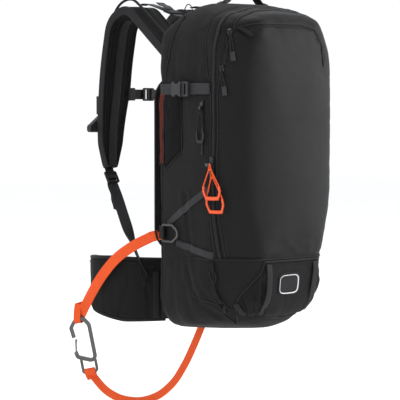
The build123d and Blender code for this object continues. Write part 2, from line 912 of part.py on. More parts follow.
def webbing_along(route, width, thickness, width_direction):
    """Flat webbing along a route of straight runs and tangent arcs."""
    start = Vector(*route[1]) - Vector(*route[0])
    across = Vector(*width_direction)
    across = across - start.normalized() * across.dot(start.normalized())
    with BuildPart() as band:
        with BuildLine() as line:
            FilletPolyline(*route, radius=arc_radii(route))
        with BuildSketch(Plane(origin=route[0], x_dir=across.normalized(), z_dir=start.normalized())):
            Rectangle(width, thickness)
        sweep()
    length = Wire(line.line.edges()).length
    share = band.part.volume / (width * thickness * length)
    print("webbing length", round(length, 1), "volume share", round(share, 3))
    return band


hook_top = local((4, 56))
upper_route = [
    (-134, -5, 167),
    (-150, 28, 150),
    (-163, 62, 127),
    (-171, 94, 94),
    (-174, 124, 58),
    (hook_top[0], hook_top[1], hook_top[2] + 1),
]
save(webbing_along(upper_route, leg_width, leg_thickness, (-0.4, 0.5, 0.8)), "leg_strap_upper")

slot_bottom = local((2, -57))
lower_route = [
    slot_bottom,
    (-142, 126, -128),
    (-124, 103, -143),
    (-100, 76, -147),
    (-77, 48, -135),
    (-59, 24, -108),
    (-46, 4, -68),
    (-38, -13, -28),
    (-34, -25, 0),
]
save(webbing_along(lower_route, leg_width, leg_thickness, (0.7, 0.6, 0)), "leg_strap_lower")
print("carabiner top", hook_top, "slot", slot_bottom, "gate pivot", local((-18.6, -13)))
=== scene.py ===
import math
import bmesh
import bpy
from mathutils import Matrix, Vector, noise
from mathutils.bvhtree import BVHTree
from mathutils.kdtree import KDTree


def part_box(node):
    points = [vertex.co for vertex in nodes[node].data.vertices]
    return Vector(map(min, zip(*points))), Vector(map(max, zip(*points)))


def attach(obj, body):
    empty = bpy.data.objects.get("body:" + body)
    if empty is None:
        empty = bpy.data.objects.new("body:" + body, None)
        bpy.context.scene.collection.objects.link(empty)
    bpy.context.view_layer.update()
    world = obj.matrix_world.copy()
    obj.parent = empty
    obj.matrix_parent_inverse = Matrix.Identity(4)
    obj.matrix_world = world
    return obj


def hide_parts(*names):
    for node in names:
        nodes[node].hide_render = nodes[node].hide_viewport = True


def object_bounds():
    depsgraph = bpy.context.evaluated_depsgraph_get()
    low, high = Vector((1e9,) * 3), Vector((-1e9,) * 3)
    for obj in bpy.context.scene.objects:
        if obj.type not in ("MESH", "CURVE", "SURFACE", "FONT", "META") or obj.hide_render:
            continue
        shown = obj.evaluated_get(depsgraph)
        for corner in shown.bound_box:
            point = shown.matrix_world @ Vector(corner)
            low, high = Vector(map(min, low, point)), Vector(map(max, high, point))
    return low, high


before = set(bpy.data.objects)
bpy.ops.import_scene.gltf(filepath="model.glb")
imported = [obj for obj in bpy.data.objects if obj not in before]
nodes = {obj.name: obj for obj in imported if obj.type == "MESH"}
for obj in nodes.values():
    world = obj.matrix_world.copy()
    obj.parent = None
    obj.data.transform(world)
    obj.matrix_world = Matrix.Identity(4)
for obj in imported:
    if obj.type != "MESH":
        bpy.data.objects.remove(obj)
cad_box = [list(map(float, corner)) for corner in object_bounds()]
scene = bpy.context.scene
UP = Vector((0, 0, 1))
BOTH_SIDES = ((-1, "left"), (1, "right"))
web_width = 0.0195


# ------------------------------------------------------------ camera and light

target = Vector((-0.0616, -0.0523, 0.232))
toward_camera = Vector((-0.6419, -0.7650, 0.0523)).normalized()
camera_right = Vector((0.7660, -0.6428, 0))
camera = bpy.data.objects.new("Camera", bpy.data.cameras.new("Camera"))
camera.data.lens = 150
camera.data.sensor_width = 36
camera.location = target + toward_camera * 3.0
camera.rotation_euler = (-toward_camera).to_track_quat("-Z", "Y").to_euler()
scene.collection.objects.link(camera)
scene.camera = camera
scene.view_settings.view_transform = "Standard"

world = bpy.data.worlds.new("Studio")
world.use_nodes = True
world.node_tree.nodes["Background"].inputs["Color"].default_value = (0.96, 0.97, 1.0, 1)
world.node_tree.nodes["Background"].inputs["Strength"].default_value = 1.05
scene.world = world


def soft_box(name, offset, power, size):
    """A square studio light at offset from the pack, facing it."""
    light = bpy.data.lights.new(name, "AREA")
    light.energy = power
    light.size = size
    holder = bpy.data.objects.new(name, light)
    holder.location = target + offset
    holder.rotation_euler = (-offset).to_track_quat("-Z", "Y").to_euler()
    scene.collection.objects.link(holder)


soft_box("Key", camera_right * 2.0 + toward_camera * 0.1 + UP * 0.6, 42, 1.3)
soft_box("Top", UP * 2.1 - toward_camera * 0.3, 20, 1.4)
soft_box("Fill", camera_right * -1.6 + toward_camera * 1.7 + UP * 0.4, 12, 1.6)


# ------------------------------------------------------------ materials


def shader(name):
    """A new material, its node tree and its main shader."""
    made = bpy.data.materials.new(name)
    made.use_nodes = True
    return made, made.node_tree, made.node_tree.nodes["Principled BSDF"]


def node(tree, kind, inputs=None, **settings):
    """A shader node with its settings, its inputs given as values or as sockets to link."""
    made = tree.nodes.new(kind)
    for key, value in settings.items():
        setattr(made, key, value)
    for key, value in (inputs or {}).items():
        if isinstance(value, bpy.types.NodeSocket):
            tree.links.new(value, made.inputs[key])
        else:
            made.inputs[key].default_value = value
    return made


def maths(tree, operation, a, b=0.0, clamp=False):
    return node(tree, "ShaderNodeMath", {0: a, 1: b}, operation=operation, use_clamp=clamp).outputs[0]


def between(tree, share, low, high):
    """A number that goes from low to high as share goes from 0 to 1."""
    made = node(tree, "ShaderNodeMapRange", {"Value": share, "To Min": low, "To Max": high})
    return made.outputs["Result"]


def blend_colour(tree, share, first, second):
    made = node(tree, "ShaderNodeMix", {"Factor": share}, data_type="RGBA")
    for key, value in ((6, first), (7, second)):
        if isinstance(value, bpy.types.NodeSocket):
            tree.links.new(value, made.inputs[key])
        else:
            made.inputs[key].default_value = (*value, 1)
    return made.outputs[2]


def flat_space(tree):
    """Coordinates across and up whichever side of the pack a face looks to."""
    place = node(tree, "ShaderNodeTexCoord")
    point = node(tree, "ShaderNodeSeparateXYZ", {0: place.outputs["Object"]})
    facing = node(tree, "ShaderNodeSeparateXYZ", {0: place.outputs["Normal"]})
    across_x = maths(tree, "ABSOLUTE", facing.outputs["X"])
    across_y = maths(tree, "ABSOLUTE", facing.outputs["Y"])
    sideways = maths(tree, "GREATER_THAN", across_x, across_y)
    level = maths(tree, "GREATER_THAN", maths(tree, "ABSOLUTE", facing.outputs["Z"]), 0.75)
    u = node(tree, "ShaderNodeMix", {0: sideways, 2: point.outputs["X"], 3: point.outputs["Y"]})
    flat_v = node(tree, "ShaderNodeMix", {0: sideways, 2: point.outputs["Y"], 3: point.outputs["X"]})
    v = node(tree, "ShaderNodeMix", {0: level, 2: point.outputs["Z"], 3: flat_v.outputs[0]})
    return node(tree, "ShaderNodeCombineXYZ", {"X": u.outputs[0], "Y": v.outputs[0]}).outputs[0]


def lines(tree, space, pitch, direction):
    """Rounded threads every pitch metres."""
    made = node(
        tree, "ShaderNodeTexWave", {"Vector": space, "Scale": 0.3142 / pitch, "Distortion": 0.0},
        wave_type="BANDS", bands_direction=direction,
    )
    return made.outputs["Fac"]


def finish_surface(tree, main, height, distance, strength):
    bump = node(tree, "ShaderNodeBump", {"Height": height, "Distance": distance, "Strength": strength})
    tree.links.new(bump.outputs["Normal"], main.inputs["Normal"])


def worn(tree, colour, wear):
    """The colour, a little lighter where edges rub."""
    edge = node(tree, "ShaderNodeNewGeometry").outputs["Pointiness"]
    rub = node(
        tree, "ShaderNodeMapRange",
        {"Value": edge, "From Min": 0.56, "From Max": 0.70, "To Min": 0.0, "To Max": wear},
    )
    return blend_colour(tree, rub.outputs["Result"], colour, (0.34, 0.34, 0.35))


def cloth(name, dark, light, pitch=0.0011, grid=0.0, rough=0.78, sheen=0.05, depth=0.5, wear=0.03):
    """Woven fabric: warp and weft, an optional ripstop grid, uneven dye, fibre fuzz and rubbed edges."""
    made, tree, main = shader(name)
    space = flat_space(tree)
    solid = node(tree, "ShaderNodeTexCoord").outputs["Object"]
    warp = lines(tree, space, pitch, "X")
    weft = lines(tree, space, pitch, "Y")
    over = node(tree, "ShaderNodeTexChecker", {"Vector": space, "Scale": 1 / pitch}).outputs["Fac"]
    weave = node(tree, "ShaderNodeMix", {0: over, 2: warp, 3: weft}).outputs[0]
    cloud = node(tree, "ShaderNodeTexNoise", {"Vector": solid, "Scale": 11, "Detail": 5}).outputs["Fac"]
    fuzz = node(tree, "ShaderNodeTexNoise", {"Vector": solid, "Scale": 420, "Detail": 2}).outputs["Fac"]
    height = maths(tree, "ADD", weave, maths(tree, "MULTIPLY", fuzz, 0.5))
    shade = maths(tree, "ADD", maths(tree, "MULTIPLY", cloud, 0.75), maths(tree, "MULTIPLY", fuzz, 0.25))
    if grid:
        rib_a = maths(tree, "POWER", lines(tree, space, grid, "X"), 14)
        rib_b = maths(tree, "POWER", lines(tree, space, grid, "Y"), 14)
        ribs = maths(tree, "MAXIMUM", rib_a, rib_b)
        height = maths(tree, "ADD", height, maths(tree, "MULTIPLY", ribs, 1.4))
        shade = maths(tree, "ADD", shade, maths(tree, "MULTIPLY", ribs, 0.22), clamp=True)
    colour = blend_colour(tree, shade, dark, light)
    tree.links.new(worn(tree, colour, wear), main.inputs["Base Color"])
    tree.links.new(between(tree, cloud, rough - 0.1, rough + 0.1), main.inputs["Roughness"])
    main.inputs["Sheen Weight"].default_value = sheen
    main.inputs["Sheen Roughness"].default_value = 0.45
    main.inputs["Specular IOR Level"].default_value = 0.12
    finish_surface(tree, main, height, 0.0003, depth)
    return made


def mesh_cloth(name, dark, light, cell=0.0032):
    """Air mesh: rounded holes in a knitted face, with painted shade that makes them dark inside."""
    made, tree, main = shader(name)
    space = flat_space(tree)
    holes = node(tree, "ShaderNodeTexVoronoi", {"Vector": space, "Scale": 1 / cell, "Randomness": 0.12})
    depth = node(
        tree, "ShaderNodeMapRange",
        {"Value": holes.outputs["Distance"], "From Min": 0.2, "From Max": 0.5, "To Min": 0.0, "To Max": 1.0},
    ).outputs["Result"]
    solid = node(tree, "ShaderNodeTexCoord").outputs["Object"]
    cloud = node(tree, "ShaderNodeTexNoise", {"Vector": solid, "Scale": 14, "Detail": 4}).outputs["Fac"]
    face = blend_colour(tree, cloud, [c * 0.8 for c in light], light)
    # Painted shade: the colour goes to dark inside the holes, following the bump's depth.
    colour = blend_colour(tree, depth, dark, face)
    tree.links.new(colour, main.inputs["Base Color"])
    tree.links.new(between(tree, cloud, 0.8, 0.95), main.inputs["Roughness"])
    main.inputs["Sheen Weight"].default_value = 0.02
    main.inputs["Specular IOR Level"].default_value = 0.1
    finish_surface(tree, main, depth, 0.0006, 0.8)
    return made


def webbing(name, dark, light, rough=0.7, rib=0.0021):
    """Flat woven tape: cross ribs and lengthwise yarns, laid out along its own length."""
    made, tree, main = shader(name)
    space = node(tree, "ShaderNodeTexCoord").outputs["UV"]
    ribs = lines(tree, space, rib, "DIAGONAL")
    yarns = lines(tree, space, 0.0026, "X")
    solid = node(tree, "ShaderNodeTexCoord").outputs["Object"]
    fuzz = node(tree, "ShaderNodeTexNoise", {"Vector": solid, "Scale": 500, "Detail": 2}).outputs["Fac"]
    cloud = node(tree, "ShaderNodeTexNoise", {"Vector": solid, "Scale": 25, "Detail": 4}).outputs["Fac"]
    woven = maths(tree, "ADD", maths(tree, "MULTIPLY", ribs, 0.6), maths(tree, "MULTIPLY", yarns, 0.4))
    shade = maths(tree, "ADD", maths(tree, "MULTIPLY", woven, 0.45), maths(tree, "MULTIPLY", cloud, 0.55))
    tree.links.new(worn(tree, blend_colour(tree, shade, dark, light), 0.015), main.inputs["Base Color"])
    tree.links.new(between(tree, fuzz, rough - 0.12, rough + 0.12), main.inputs["Roughness"])
    main.inputs["Sheen Weight"].default_value = 0.03
    main.inputs["Specular IOR Level"].default_value = 0.2
    finish_surface(tree, main, maths(tree, "ADD", woven, maths(tree, "MULTIPLY", fuzz, 0.4)), 0.0004, 0.6)
    return made


def moulded(name, dark, light, rough=0.45, wear=0.25, grain=900):
    """Moulded plastic: fine spark-eroded grain, slight mottling and rubbed edges."""
    made, tree, main = shader(name)
    solid = node(tree, "ShaderNodeTexCoord").outputs["Object"]
    fine = node(tree, "ShaderNodeTexNoise", {"Vector": solid, "Scale": grain, "Detail": 3}).outputs["Fac"]
    cloud = node(tree, "ShaderNodeTexNoise", {"Vector": solid, "Scale": 40, "Detail": 5}).outputs["Fac"]
    tree.links.new(worn(tree, blend_colour(tree, cloud, dark, light), wear), main.inputs["Base Color"])
    tree.links.new(between(tree, cloud, rough - 0.08, rough + 0.14), main.inputs["Roughness"])
    main.inputs["Specular IOR Level"].default_value = 0.22
    finish_surface(tree, main, fine, 0.0002, 0.3)
    return made


def metal(name, dark, light, rough=0.32, wear=0.5):
    """Anodised or plated metal: brushed hairlines, handling marks and bright rubbed edges."""
    made, tree, main = shader(name)
    solid = node(tree, "ShaderNodeTexCoord").outputs["Object"]
    stretched = node(tree, "ShaderNodeMapping", {"Vector": solid, "Scale": (900, 900, 60)}).outputs[0]
    hair = node(tree, "ShaderNodeTexNoise", {"Vector": stretched, "Scale": 1, "Detail": 3}).outputs["Fac"]
    marks = node(tree, "ShaderNodeTexNoise", {"Vector": solid, "Scale": 70, "Detail": 6}).outputs["Fac"]
    tree.links.new(worn(tree, blend_colour(tree, marks, dark, light), wear), main.inputs["Base Color"])
    tree.links.new(between(tree, hair, rough - 0.1, rough + 0.14), main.inputs["Roughness"])
    main.inputs["Metallic"].default_value = 0.9
    finish_surface(tree, main, hair, 0.0001, 0.25)
    return made


shell = cloth("Bag nylon", (0.0040, 0.0040, 0.0043), (0.0125, 0.0122, 0.0120), grid=0.0062, sheen=0.03)
front = cloth(
    "Front panel nylon", (0.0030, 0.0030, 0.0032), (0.0078, 0.0078, 0.0082), pitch=0.0009, rough=0.52,
    sheen=0.02, depth=0.3,
)
trim = cloth(
    "Reinforced nylon", (0.0035, 0.0035, 0.0038), (0.0105, 0.0105, 0.0110), pitch=0.0018, depth=0.8,
    sheen=0.02,
)
binding = cloth(
    "Binding tape", (0.007, 0.007, 0.0074), (0.017, 0.017, 0.018), pitch=0.0013, rough=0.62, sheen=0.03,
)
lining = cloth("Lining", (0.035, 0.036, 0.040), (0.060, 0.061, 0.066), pitch=0.0010, sheen=0.05)
# The first colour of each mesh is painted shade inside its holes.
air_mesh = mesh_cloth("Air mesh", (0.002, 0.002, 0.002), (0.011, 0.011, 0.012))
pocket_mesh = mesh_cloth("Side mesh", (0.001, 0.001, 0.001), (0.006, 0.006, 0.0065), cell=0.0022)
red_mesh = mesh_cloth("Burst cover mesh", (0.02, 0.004, 0.003), (0.135, 0.022, 0.013), cell=0.0036)
balloon = cloth("Airbag nylon", (0.30, 0.035, 0.02), (0.45, 0.06, 0.03), grid=0.005, sheen=0.1)
black_web = webbing("Black webbing", (0.004, 0.004, 0.0043), (0.012, 0.012, 0.013))
grey_web = webbing("Grey webbing", (0.012, 0.012, 0.013), (0.034, 0.034, 0.036))
orange_web = webbing("Orange webbing", (0.56, 0.050, 0.008), (0.76, 0.105, 0.020))
thread = webbing("Thread", (0.012, 0.012, 0.013), (0.028, 0.028, 0.030), rib=0.0006)
orange_thread = webbing("Orange thread", (0.60, 0.06, 0.02), (0.80, 0.11, 0.03), rib=0.0006)
coil = moulded("Zip coil", (0.010, 0.010, 0.011), (0.030, 0.030, 0.032), rough=0.38, wear=0.15)
tape = cloth("Coated zip tape", (0.003, 0.003, 0.0034), (0.008, 0.008, 0.009), rough=0.6, sheen=0.02)
black_plastic = moulded("Black acetal", (0.005, 0.005, 0.0055), (0.011, 0.011, 0.012), rough=0.6, wear=0.04)
grey_plastic = moulded("Grey acetal", (0.012, 0.012, 0.013), (0.026, 0.026, 0.028), rough=0.4, wear=0.1)
drive_plastic = moulded("Drive housing", (0.045, 0.046, 0.050), (0.075, 0.076, 0.080))
drive_grey = moulded("Drive grey", (0.20, 0.20, 0.21), (0.30, 0.30, 0.31))
sheet_plastic = moulded("Frame sheet", (0.035, 0.035, 0.038), (0.06, 0.06, 0.064), rough=0.5)
orange_soft = moulded("Orange pull", (0.66, 0.070, 0.020), (0.84, 0.14, 0.05), rough=0.5, wear=0.02)
dark_soft = moulded("Dark pull", (0.014, 0.014, 0.015), (0.028, 0.028, 0.030), rough=0.5, wear=0.1)
grey_metal = metal("Anodised grey", (0.060, 0.062, 0.058), (0.105, 0.108, 0.102), wear=0.12)
wire_metal = metal("Gate wire", (0.10, 0.10, 0.105), (0.19, 0.19, 0.195), rough=0.3, wear=0.1)
slider_metal = metal("Slider lacquer", (0.015, 0.015, 0.016), (0.045, 0.045, 0.048), rough=0.36, wear=0.35)
stay_metal = metal("Stay aluminium", (0.55, 0.55, 0.56), (0.70, 0.70, 0.72))
label_ground = cloth("Label ground", (0.010, 0.010, 0.011), (0.020, 0.020, 0.022), pitch=0.0008)
label_yarn = cloth("Label yarn", (0.62, 0.62, 0.62), (0.80, 0.80, 0.80), pitch=0.0009, sheen=0.1, wear=0.0)


# ------------------------------------------------------------ mesh tools


def mesh_object(name, points, faces, material, flat=None):
    """A smooth mesh with one material, and flat coordinates in metres if they are given."""
    data = bpy.data.meshes.new(name)
    data.from_pydata([tuple(p) for p in points], [], faces)
    if flat:
        layer = data.uv_layers.new(name="flat")
        for loop in data.loops:
            layer.data[loop.index].uv = flat[loop.vertex_index]
    data.materials.append(material)
    data.polygons.foreach_set("use_smooth", [True] * len(data.polygons))
    data.update()
    made = bpy.data.objects.new(name, data)
    scene.collection.objects.link(made)
    return made


def even(points, step):
    """The same line with a point about every step metres."""
    total = sum((b - a).length for a, b in zip(points, points[1:]))
    count = max(2, round(total / step))
    out, walked, index = [points[0].copy()], 0.0, 0
    for k in range(1, count):
        goal = total * k / count
        while walked + (points[index + 1] - points[index]).length < goal:
            walked += (points[index + 1] - points[index]).length
            index += 1
        run = points[index + 1] - points[index]
        out.append(points[index] + run * ((goal - walked) / run.length))
    out.append(points[-1].copy())
    return out


def rounded(route, step=0.003, share=0.45):
    """Straight runs joined by tangent arcs that start share of the shorter run before each corner."""
    route = [Vector(p) for p in route]
    line = [route[0]]
    for before, here, after in zip(route, route[1:], route[2:]):
        back, on = before - here, after - here
        cut = share * min(back.length, on.length)
        half = (math.pi - back.angle(on)) / 2
        back.normalize()
        on.normalize()
        reach = 4 / 3 * math.tan(half / 2) * cut / math.tan(half)
        start, end = here + back * cut, here + on * cut
        for k in range(13):
            t = k / 12
            line.append(
                start * (1 - t) ** 3 + (start - back * reach) * (3 * t * (1 - t) ** 2)
                + (end - on * reach) * (3 * t * t * (1 - t)) + end * t ** 3
            )
    line.append(route[-1])
    return even(line, step)


def tangents(points):
    out = []
    for k in range(len(points)):
        out.append((points[min(k + 1, len(points) - 1)] - points[max(k - 1, 0)]).normalized())
    return out


def ribbon(name, points, across, width, thickness, material, crown=0.0):
    """Flat tape with rounded edges along points. across is its width direction, one or one for each point."""
    if isinstance(across, Vector):
        across = [across] * len(points)
    half, deep = width / 2, thickness / 2
    section = []
    for k in range(5):
        angle = -math.pi / 2 + math.pi * k / 4
        section.append((half - deep + deep * math.cos(angle), deep * math.sin(angle)))
    for k in (1, 0, -1):
        section.append((k * half * 0.45, deep + crown * (1 - abs(k) * 0.35)))
    for k in range(5):
        angle = math.pi / 2 + math.pi * k / 4
        section.append((-half + deep + deep * math.cos(angle), deep * math.sin(angle)))
    for k in (-1, 0, 1):
        section.append((k * half * 0.45, -deep))
    count = len(section)
    verts, flat, faces, length = [], [], [], 0.0
    for k, (point, along) in enumerate(zip(points, tangents(points))):
        wide = (across[k] - along * across[k].dot(along)).normalized()
        out = along.cross(wide)
        length += (point - points[k - 1]).length if k else 0
        for u, w in section:
            verts.append(point + wide * u + out * w)
            flat.append((u, length))
    for k in range(len(points) - 1):
        for j in range(count):
            a, b = k * count + j, k * count + (j + 1) % count
            faces.append((a, b, b + count, a + count))
    faces.append(tuple(range(count - 1, -1, -1)))
    faces.append(tuple(range((len(points) - 1) * count, len(points) * count)))
    return mesh_object(name, verts, faces, material, flat)


def tube(name, points, radius, material, sides=10, closed=False):
    """Round cord along points."""
    verts, flat, faces, length = [], [], [], 0.0
    runs = tangents(points)
    if closed:
        runs[0] = runs[-1] = (points[1] - points[-2]).normalized()
    side = runs[0].orthogonal().normalized()
    for k, (point, along) in enumerate(zip(points, runs)):
        side = (side - along * side.dot(along)).normalized()
        out = along.cross(side)
        length += (point - points[k - 1]).length if k else 0
        for j in range(sides):
            angle = 2 * math.pi * j / sides
            verts.append(point + (side * math.cos(angle) + out * math.sin(angle)) * radius)
            flat.append((angle * radius, length))
    for k in range(len(points) - 1):
        for j in range(sides):
            a, b = k * sides + j, k * sides + (j + 1) % sides
            faces.append((a, b, b + sides, a + sides))
    if not closed:
        faces.append(tuple(range(sides - 1, -1, -1)))
        faces.append(tuple(range((len(points) - 1) * sides, len(points) * sides)))
    return mesh_object(name, verts, faces, material, flat)


def finder_at(points):
    """Nearest-point finder over points."""
    found = KDTree(len(points))
    for k, point in enumerate(points):
        found.insert(point, k)
    found.balance()
    return found


def stitches(name, points, normals, material=thread, pitch=0.0036, radius=0.00045):
    """A row of machine stitches that lie on a surface: short rounded bars, one mesh."""
    line = even(points, pitch)
    finder = finder_at(points)
    verts, faces = [], []
    for a, b in zip(line, line[1:]):
        along = b - a
        normal = normals[finder.find(a)[1]]
        wide = along.cross(normal).normalized()
        first, last = a + along * 0.14, b - along * 0.14
        middle = (first + last) / 2 + normal * radius * 1.1
        base = len(verts)
        for centre, size in ((first, 0.45), (middle, 1.0), (last, 0.45)):
            for j in range(6):
                angle = 2 * math.pi * j / 6
                offset = wide * math.cos(angle) + normal * math.sin(angle)
                verts.append(centre + offset * radius * size)
        for k in range(2):
            for j in range(6):
                c, d = base + k * 6 + j, base + k * 6 + (j + 1) % 6
                faces.append((c, d, d + 6, c + 6))
        faces.append(tuple(base + j for j in range(5, -1, -1)))
        faces.append(tuple(base + 12 + j for j in range(6)))
    return mesh_object(name, verts, faces, material, [(p.x, p.z) for p in verts])


def apply_modifiers(piece):
    made = bpy.data.meshes.new_from_object(piece.evaluated_get(bpy.context.evaluated_depsgraph_get()))
    piece.modifiers.clear()
    piece.data = made
    return piece


def thicken(piece, thickness, offset):
    change = piece.modifiers.new("Thickness", "SOLIDIFY")
    change.thickness = thickness
    change.offset = offset
    return change


def remeshed(piece, voxel, smooth):
    """Even quads over the whole piece, with its corners softened."""
    change = piece.modifiers.new("Remesh", "REMESH")
    change.mode = "VOXEL"
    change.voxel_size = voxel
    change = piece.modifiers.new("Smooth", "SMOOTH")
    change.iterations = smooth
    change.factor = 0.5
    apply_modifiers(piece)
    piece.data.polygons.foreach_set("use_smooth", [True] * len(piece.data.polygons))
    return piece


def soft_copy(source, name, voxel, material, smooth=4, shrink=0.0):
    """A cloth piece that starts from a CAD node's solid."""
    piece = bpy.data.objects.new(name, nodes[source].data.copy())
    scene.collection.objects.link(piece)
    piece.data.materials.clear()
    remeshed(piece, voxel, smooth)
    piece.data.materials.clear()
    piece.data.materials.append(material)
    for vertex in piece.data.vertices:
        vertex.co -= vertex.normal * shrink
    return piece


def swell(piece, pressure, cap, frames=18):
    """Let the piece fill out as cloth under pressure, no further than cap from where it was."""
    rest = [v.co.copy() for v in piece.data.vertices]
    change = piece.modifiers.new("Cloth", "CLOTH")
    settings = change.settings
    settings.use_pressure = True
    settings.uniform_pressure_force = pressure
    settings.effector_weights.gravity = 0
    settings.quality = 5
    settings.tension_stiffness = 12
    settings.compression_stiffness = 12
    for step in range(1, frames + 1):
        scene.frame_set(step)
    after = piece.evaluated_get(bpy.context.evaluated_depsgraph_get())
    moved = [v.co - r for v, r in zip(after.data.vertices, rest)]
    piece.modifiers.clear()
    scene.frame_set(1)
    drift = sum(moved, Vector()) / len(moved)
    for vertex, start, move in zip(piece.data.vertices, rest, moved):
        move = move - drift
        if move.length > cap:
            move *= cap / move.length
        vertex.co = start + move
    return piece


def finder_of(paths):
    """Nearest-point finder over densely sampled lines."""
    return finder_at([p for path in paths for p in even(path, 0.002)])


def creases(point, scale):
    """Ridged folds, from 0 to 1."""
    value = noise.noise(point * scale) + 0.5 * noise.noise(point * scale * 2.3 + Vector((7, 3, 1)))
    return 1 - min(1.0, abs(value) * 1.6)


def pressed(piece, paths, depth, width, puff=0.0, reach=0.02):
    """Sewn channels: the surface goes in along the paths and fills out between them."""
    found = finder_of(paths)
    moves = []
    for vertex in piece.data.vertices:
        gap = found.find(vertex.co)[2]
        moves.append(puff * (1 - math.exp(-((gap / reach) ** 2))) - depth * math.exp(-((gap / width) ** 2)))
    normals = [v.normal.copy() for v in piece.data.vertices]
    for vertex, normal, move in zip(piece.data.vertices, normals, moves):
        vertex.co += normal * move
    piece.data.update()
    return piece


def trimmed(source, name, cuts, keep, material, thickness, inner=None):
    """The faces of source that keep accepts, cut clean at the planes in cuts, with a lining behind."""
    work = bmesh.new()
    work.from_mesh(source.data)
    for point, normal in cuts:
        bmesh.ops.bisect_plane(
            work, geom=work.verts[:] + work.edges[:] + work.faces[:], plane_co=point, plane_no=normal,
        )
    gone = [f for f in work.faces if not keep(f.calc_center_median())]
    bmesh.ops.delete(work, geom=gone, context="FACES")
    data = bpy.data.meshes.new(name)
    work.to_mesh(data)
    work.free()
    data.materials.clear()
    data.materials.append(material)
    data.materials.append(inner or material)
    made = bpy.data.objects.new(name, data)
    scene.collection.objects.link(made)
    change = thicken(made, thickness, -1)
    change.material_offset = 1
    change.material_offset_rim = 0
    apply_modifiers(made)
    made.data.polygons.foreach_set("use_smooth", [True] * len(made.data.polygons))
    return made


def box_middle(name, axis):
    """The middle of a CAD node's box along x, y or z."""
    low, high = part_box(name)
    return (getattr(low, axis) + getattr(high, axis)) / 2


def place(piece, body, slot=None, *replaced):
    """Fix a finished piece to its CAD body and hide the nodes it stands for. slot, the finish it stands for,
    is not used.
    """
    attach(piece, body)
    if replaced:
        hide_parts(*replaced)
    return piece


# ------------------------------------------------------------ the stuffed bag

work = bmesh.new()
for name in ("main_bag", "front_panel"):
    for vertex in nodes[name].data.vertices:
        work.verts.new(vertex.co)
hull = bmesh.ops.convex_hull(work, input=work.verts[:])
loose = [g for g in hull["geom_interior"] + hull["geom_unused"] if isinstance(g, bmesh.types.BMVert)]
bmesh.ops.delete(work, geom=list(set(loose)), context="VERTS")
data = bpy.data.meshes.new("Bag form")
work.to_mesh(data)
work.free()
bag_form = bpy.data.objects.new("Bag form", data)
scene.collection.objects.link(bag_form)
remeshed(bag_form, 0.0042, 60)


def tree_of(piece):
    return BVHTree.FromPolygons(
        [v.co.copy() for v in piece.data.vertices], [list(p.vertices) for p in piece.data.polygons]
    )


surface = tree_of(bag_form)


def hit(origin, direction, lift):
    """The point on the bag that a line from origin meets, raised by lift, and the bag's normal there."""
    place_hit, normal, _, _ = surface.ray_cast(Vector(origin), Vector(direction).normalized())
    if place_hit is None:
        place_hit, normal, _, _ = surface.find_nearest(Vector(origin))
    if normal.dot(Vector(direction)) > 0:
        normal = -normal
    return place_hit + normal * lift, normal


def on_side(y, z, lift=0.0, side=-1):
    return hit((side * 0.4, y, z), (-side, 0, 0), lift)


def on_front(x, z, lift=0.0):
    return hit((x, -0.6, z), (0, 1, 0), lift)


def on_top(x, y, lift=0.0):
    return hit((x, y, 0.9), (0, 0, -1), lift)


def on_round(angle, z, lift=0.0):
    """A point at angle degrees round from the middle of the front; left is negative."""
    turn = math.radians(angle)
    outward = Vector((math.sin(turn), -math.cos(turn), 0))
    return hit(Vector((0, -0.12, z)) + outward * 0.5, -outward, lift)


def arch(depth_at, z_low, lift=0.0):
    """Points and normals up the left side, over the top and down the right; depth_at(z) is Y there."""
    spots = []
    count = 70
    for k in range(count):
        z = z_low + (0.47 - z_low) * k / count
        spots.append(on_side(depth_at(z), z, lift, -1))
    for k in range(91):
        turn = math.pi * (1 - k / 90)
        out = Vector((math.cos(turn), 0, math.sin(turn)))
        y = depth_at(0.47 + 0.11 * math.sin(turn))
        spots.append(hit(Vector((0, y, 0.47)) + out * 0.5, -out, lift))
    for k in range(count):
        z = 0.47 - (0.47 - z_low) * (k + 1) / count
        spots.append(on_side(depth_at(z), z, lift, 1))
    return [s[0] for s in spots], [s[1] for s in spots]


def run_on(kind, pairs, lift=0.0, step=0.004, **extra):
    """Points and normals along straight stretches between (a, b) pairs, laid on the bag by kind."""
    dense = even([Vector((a, b, 0)) for a, b in pairs], step)
    spots = [kind(p.x, p.y, lift, **extra) for p in dense]
    return [s[0] for s in spots], [s[1] for s in spots]


def ramp(value, low, high, start, end):
    share = max(0.0, min(1.0, (value - low) / (high - low)))
    return start + (end - start) * share * share * (3 - 2 * share)


zip_back, zip_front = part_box("main_zip_coil")[1].y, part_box("main_zip_coil")[0].y
fold_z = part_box("front_panel")[0].z
zip_middle = (zip_back + zip_front) / 2


def rear_welt_depth(z):
    return ramp(z, 0.41, 0.5, zip_back + 0.0035, -0.149)


def front_welt_depth(z):
    return ramp(z, 0.41, 0.5, zip_front - 0.0035, -0.190)


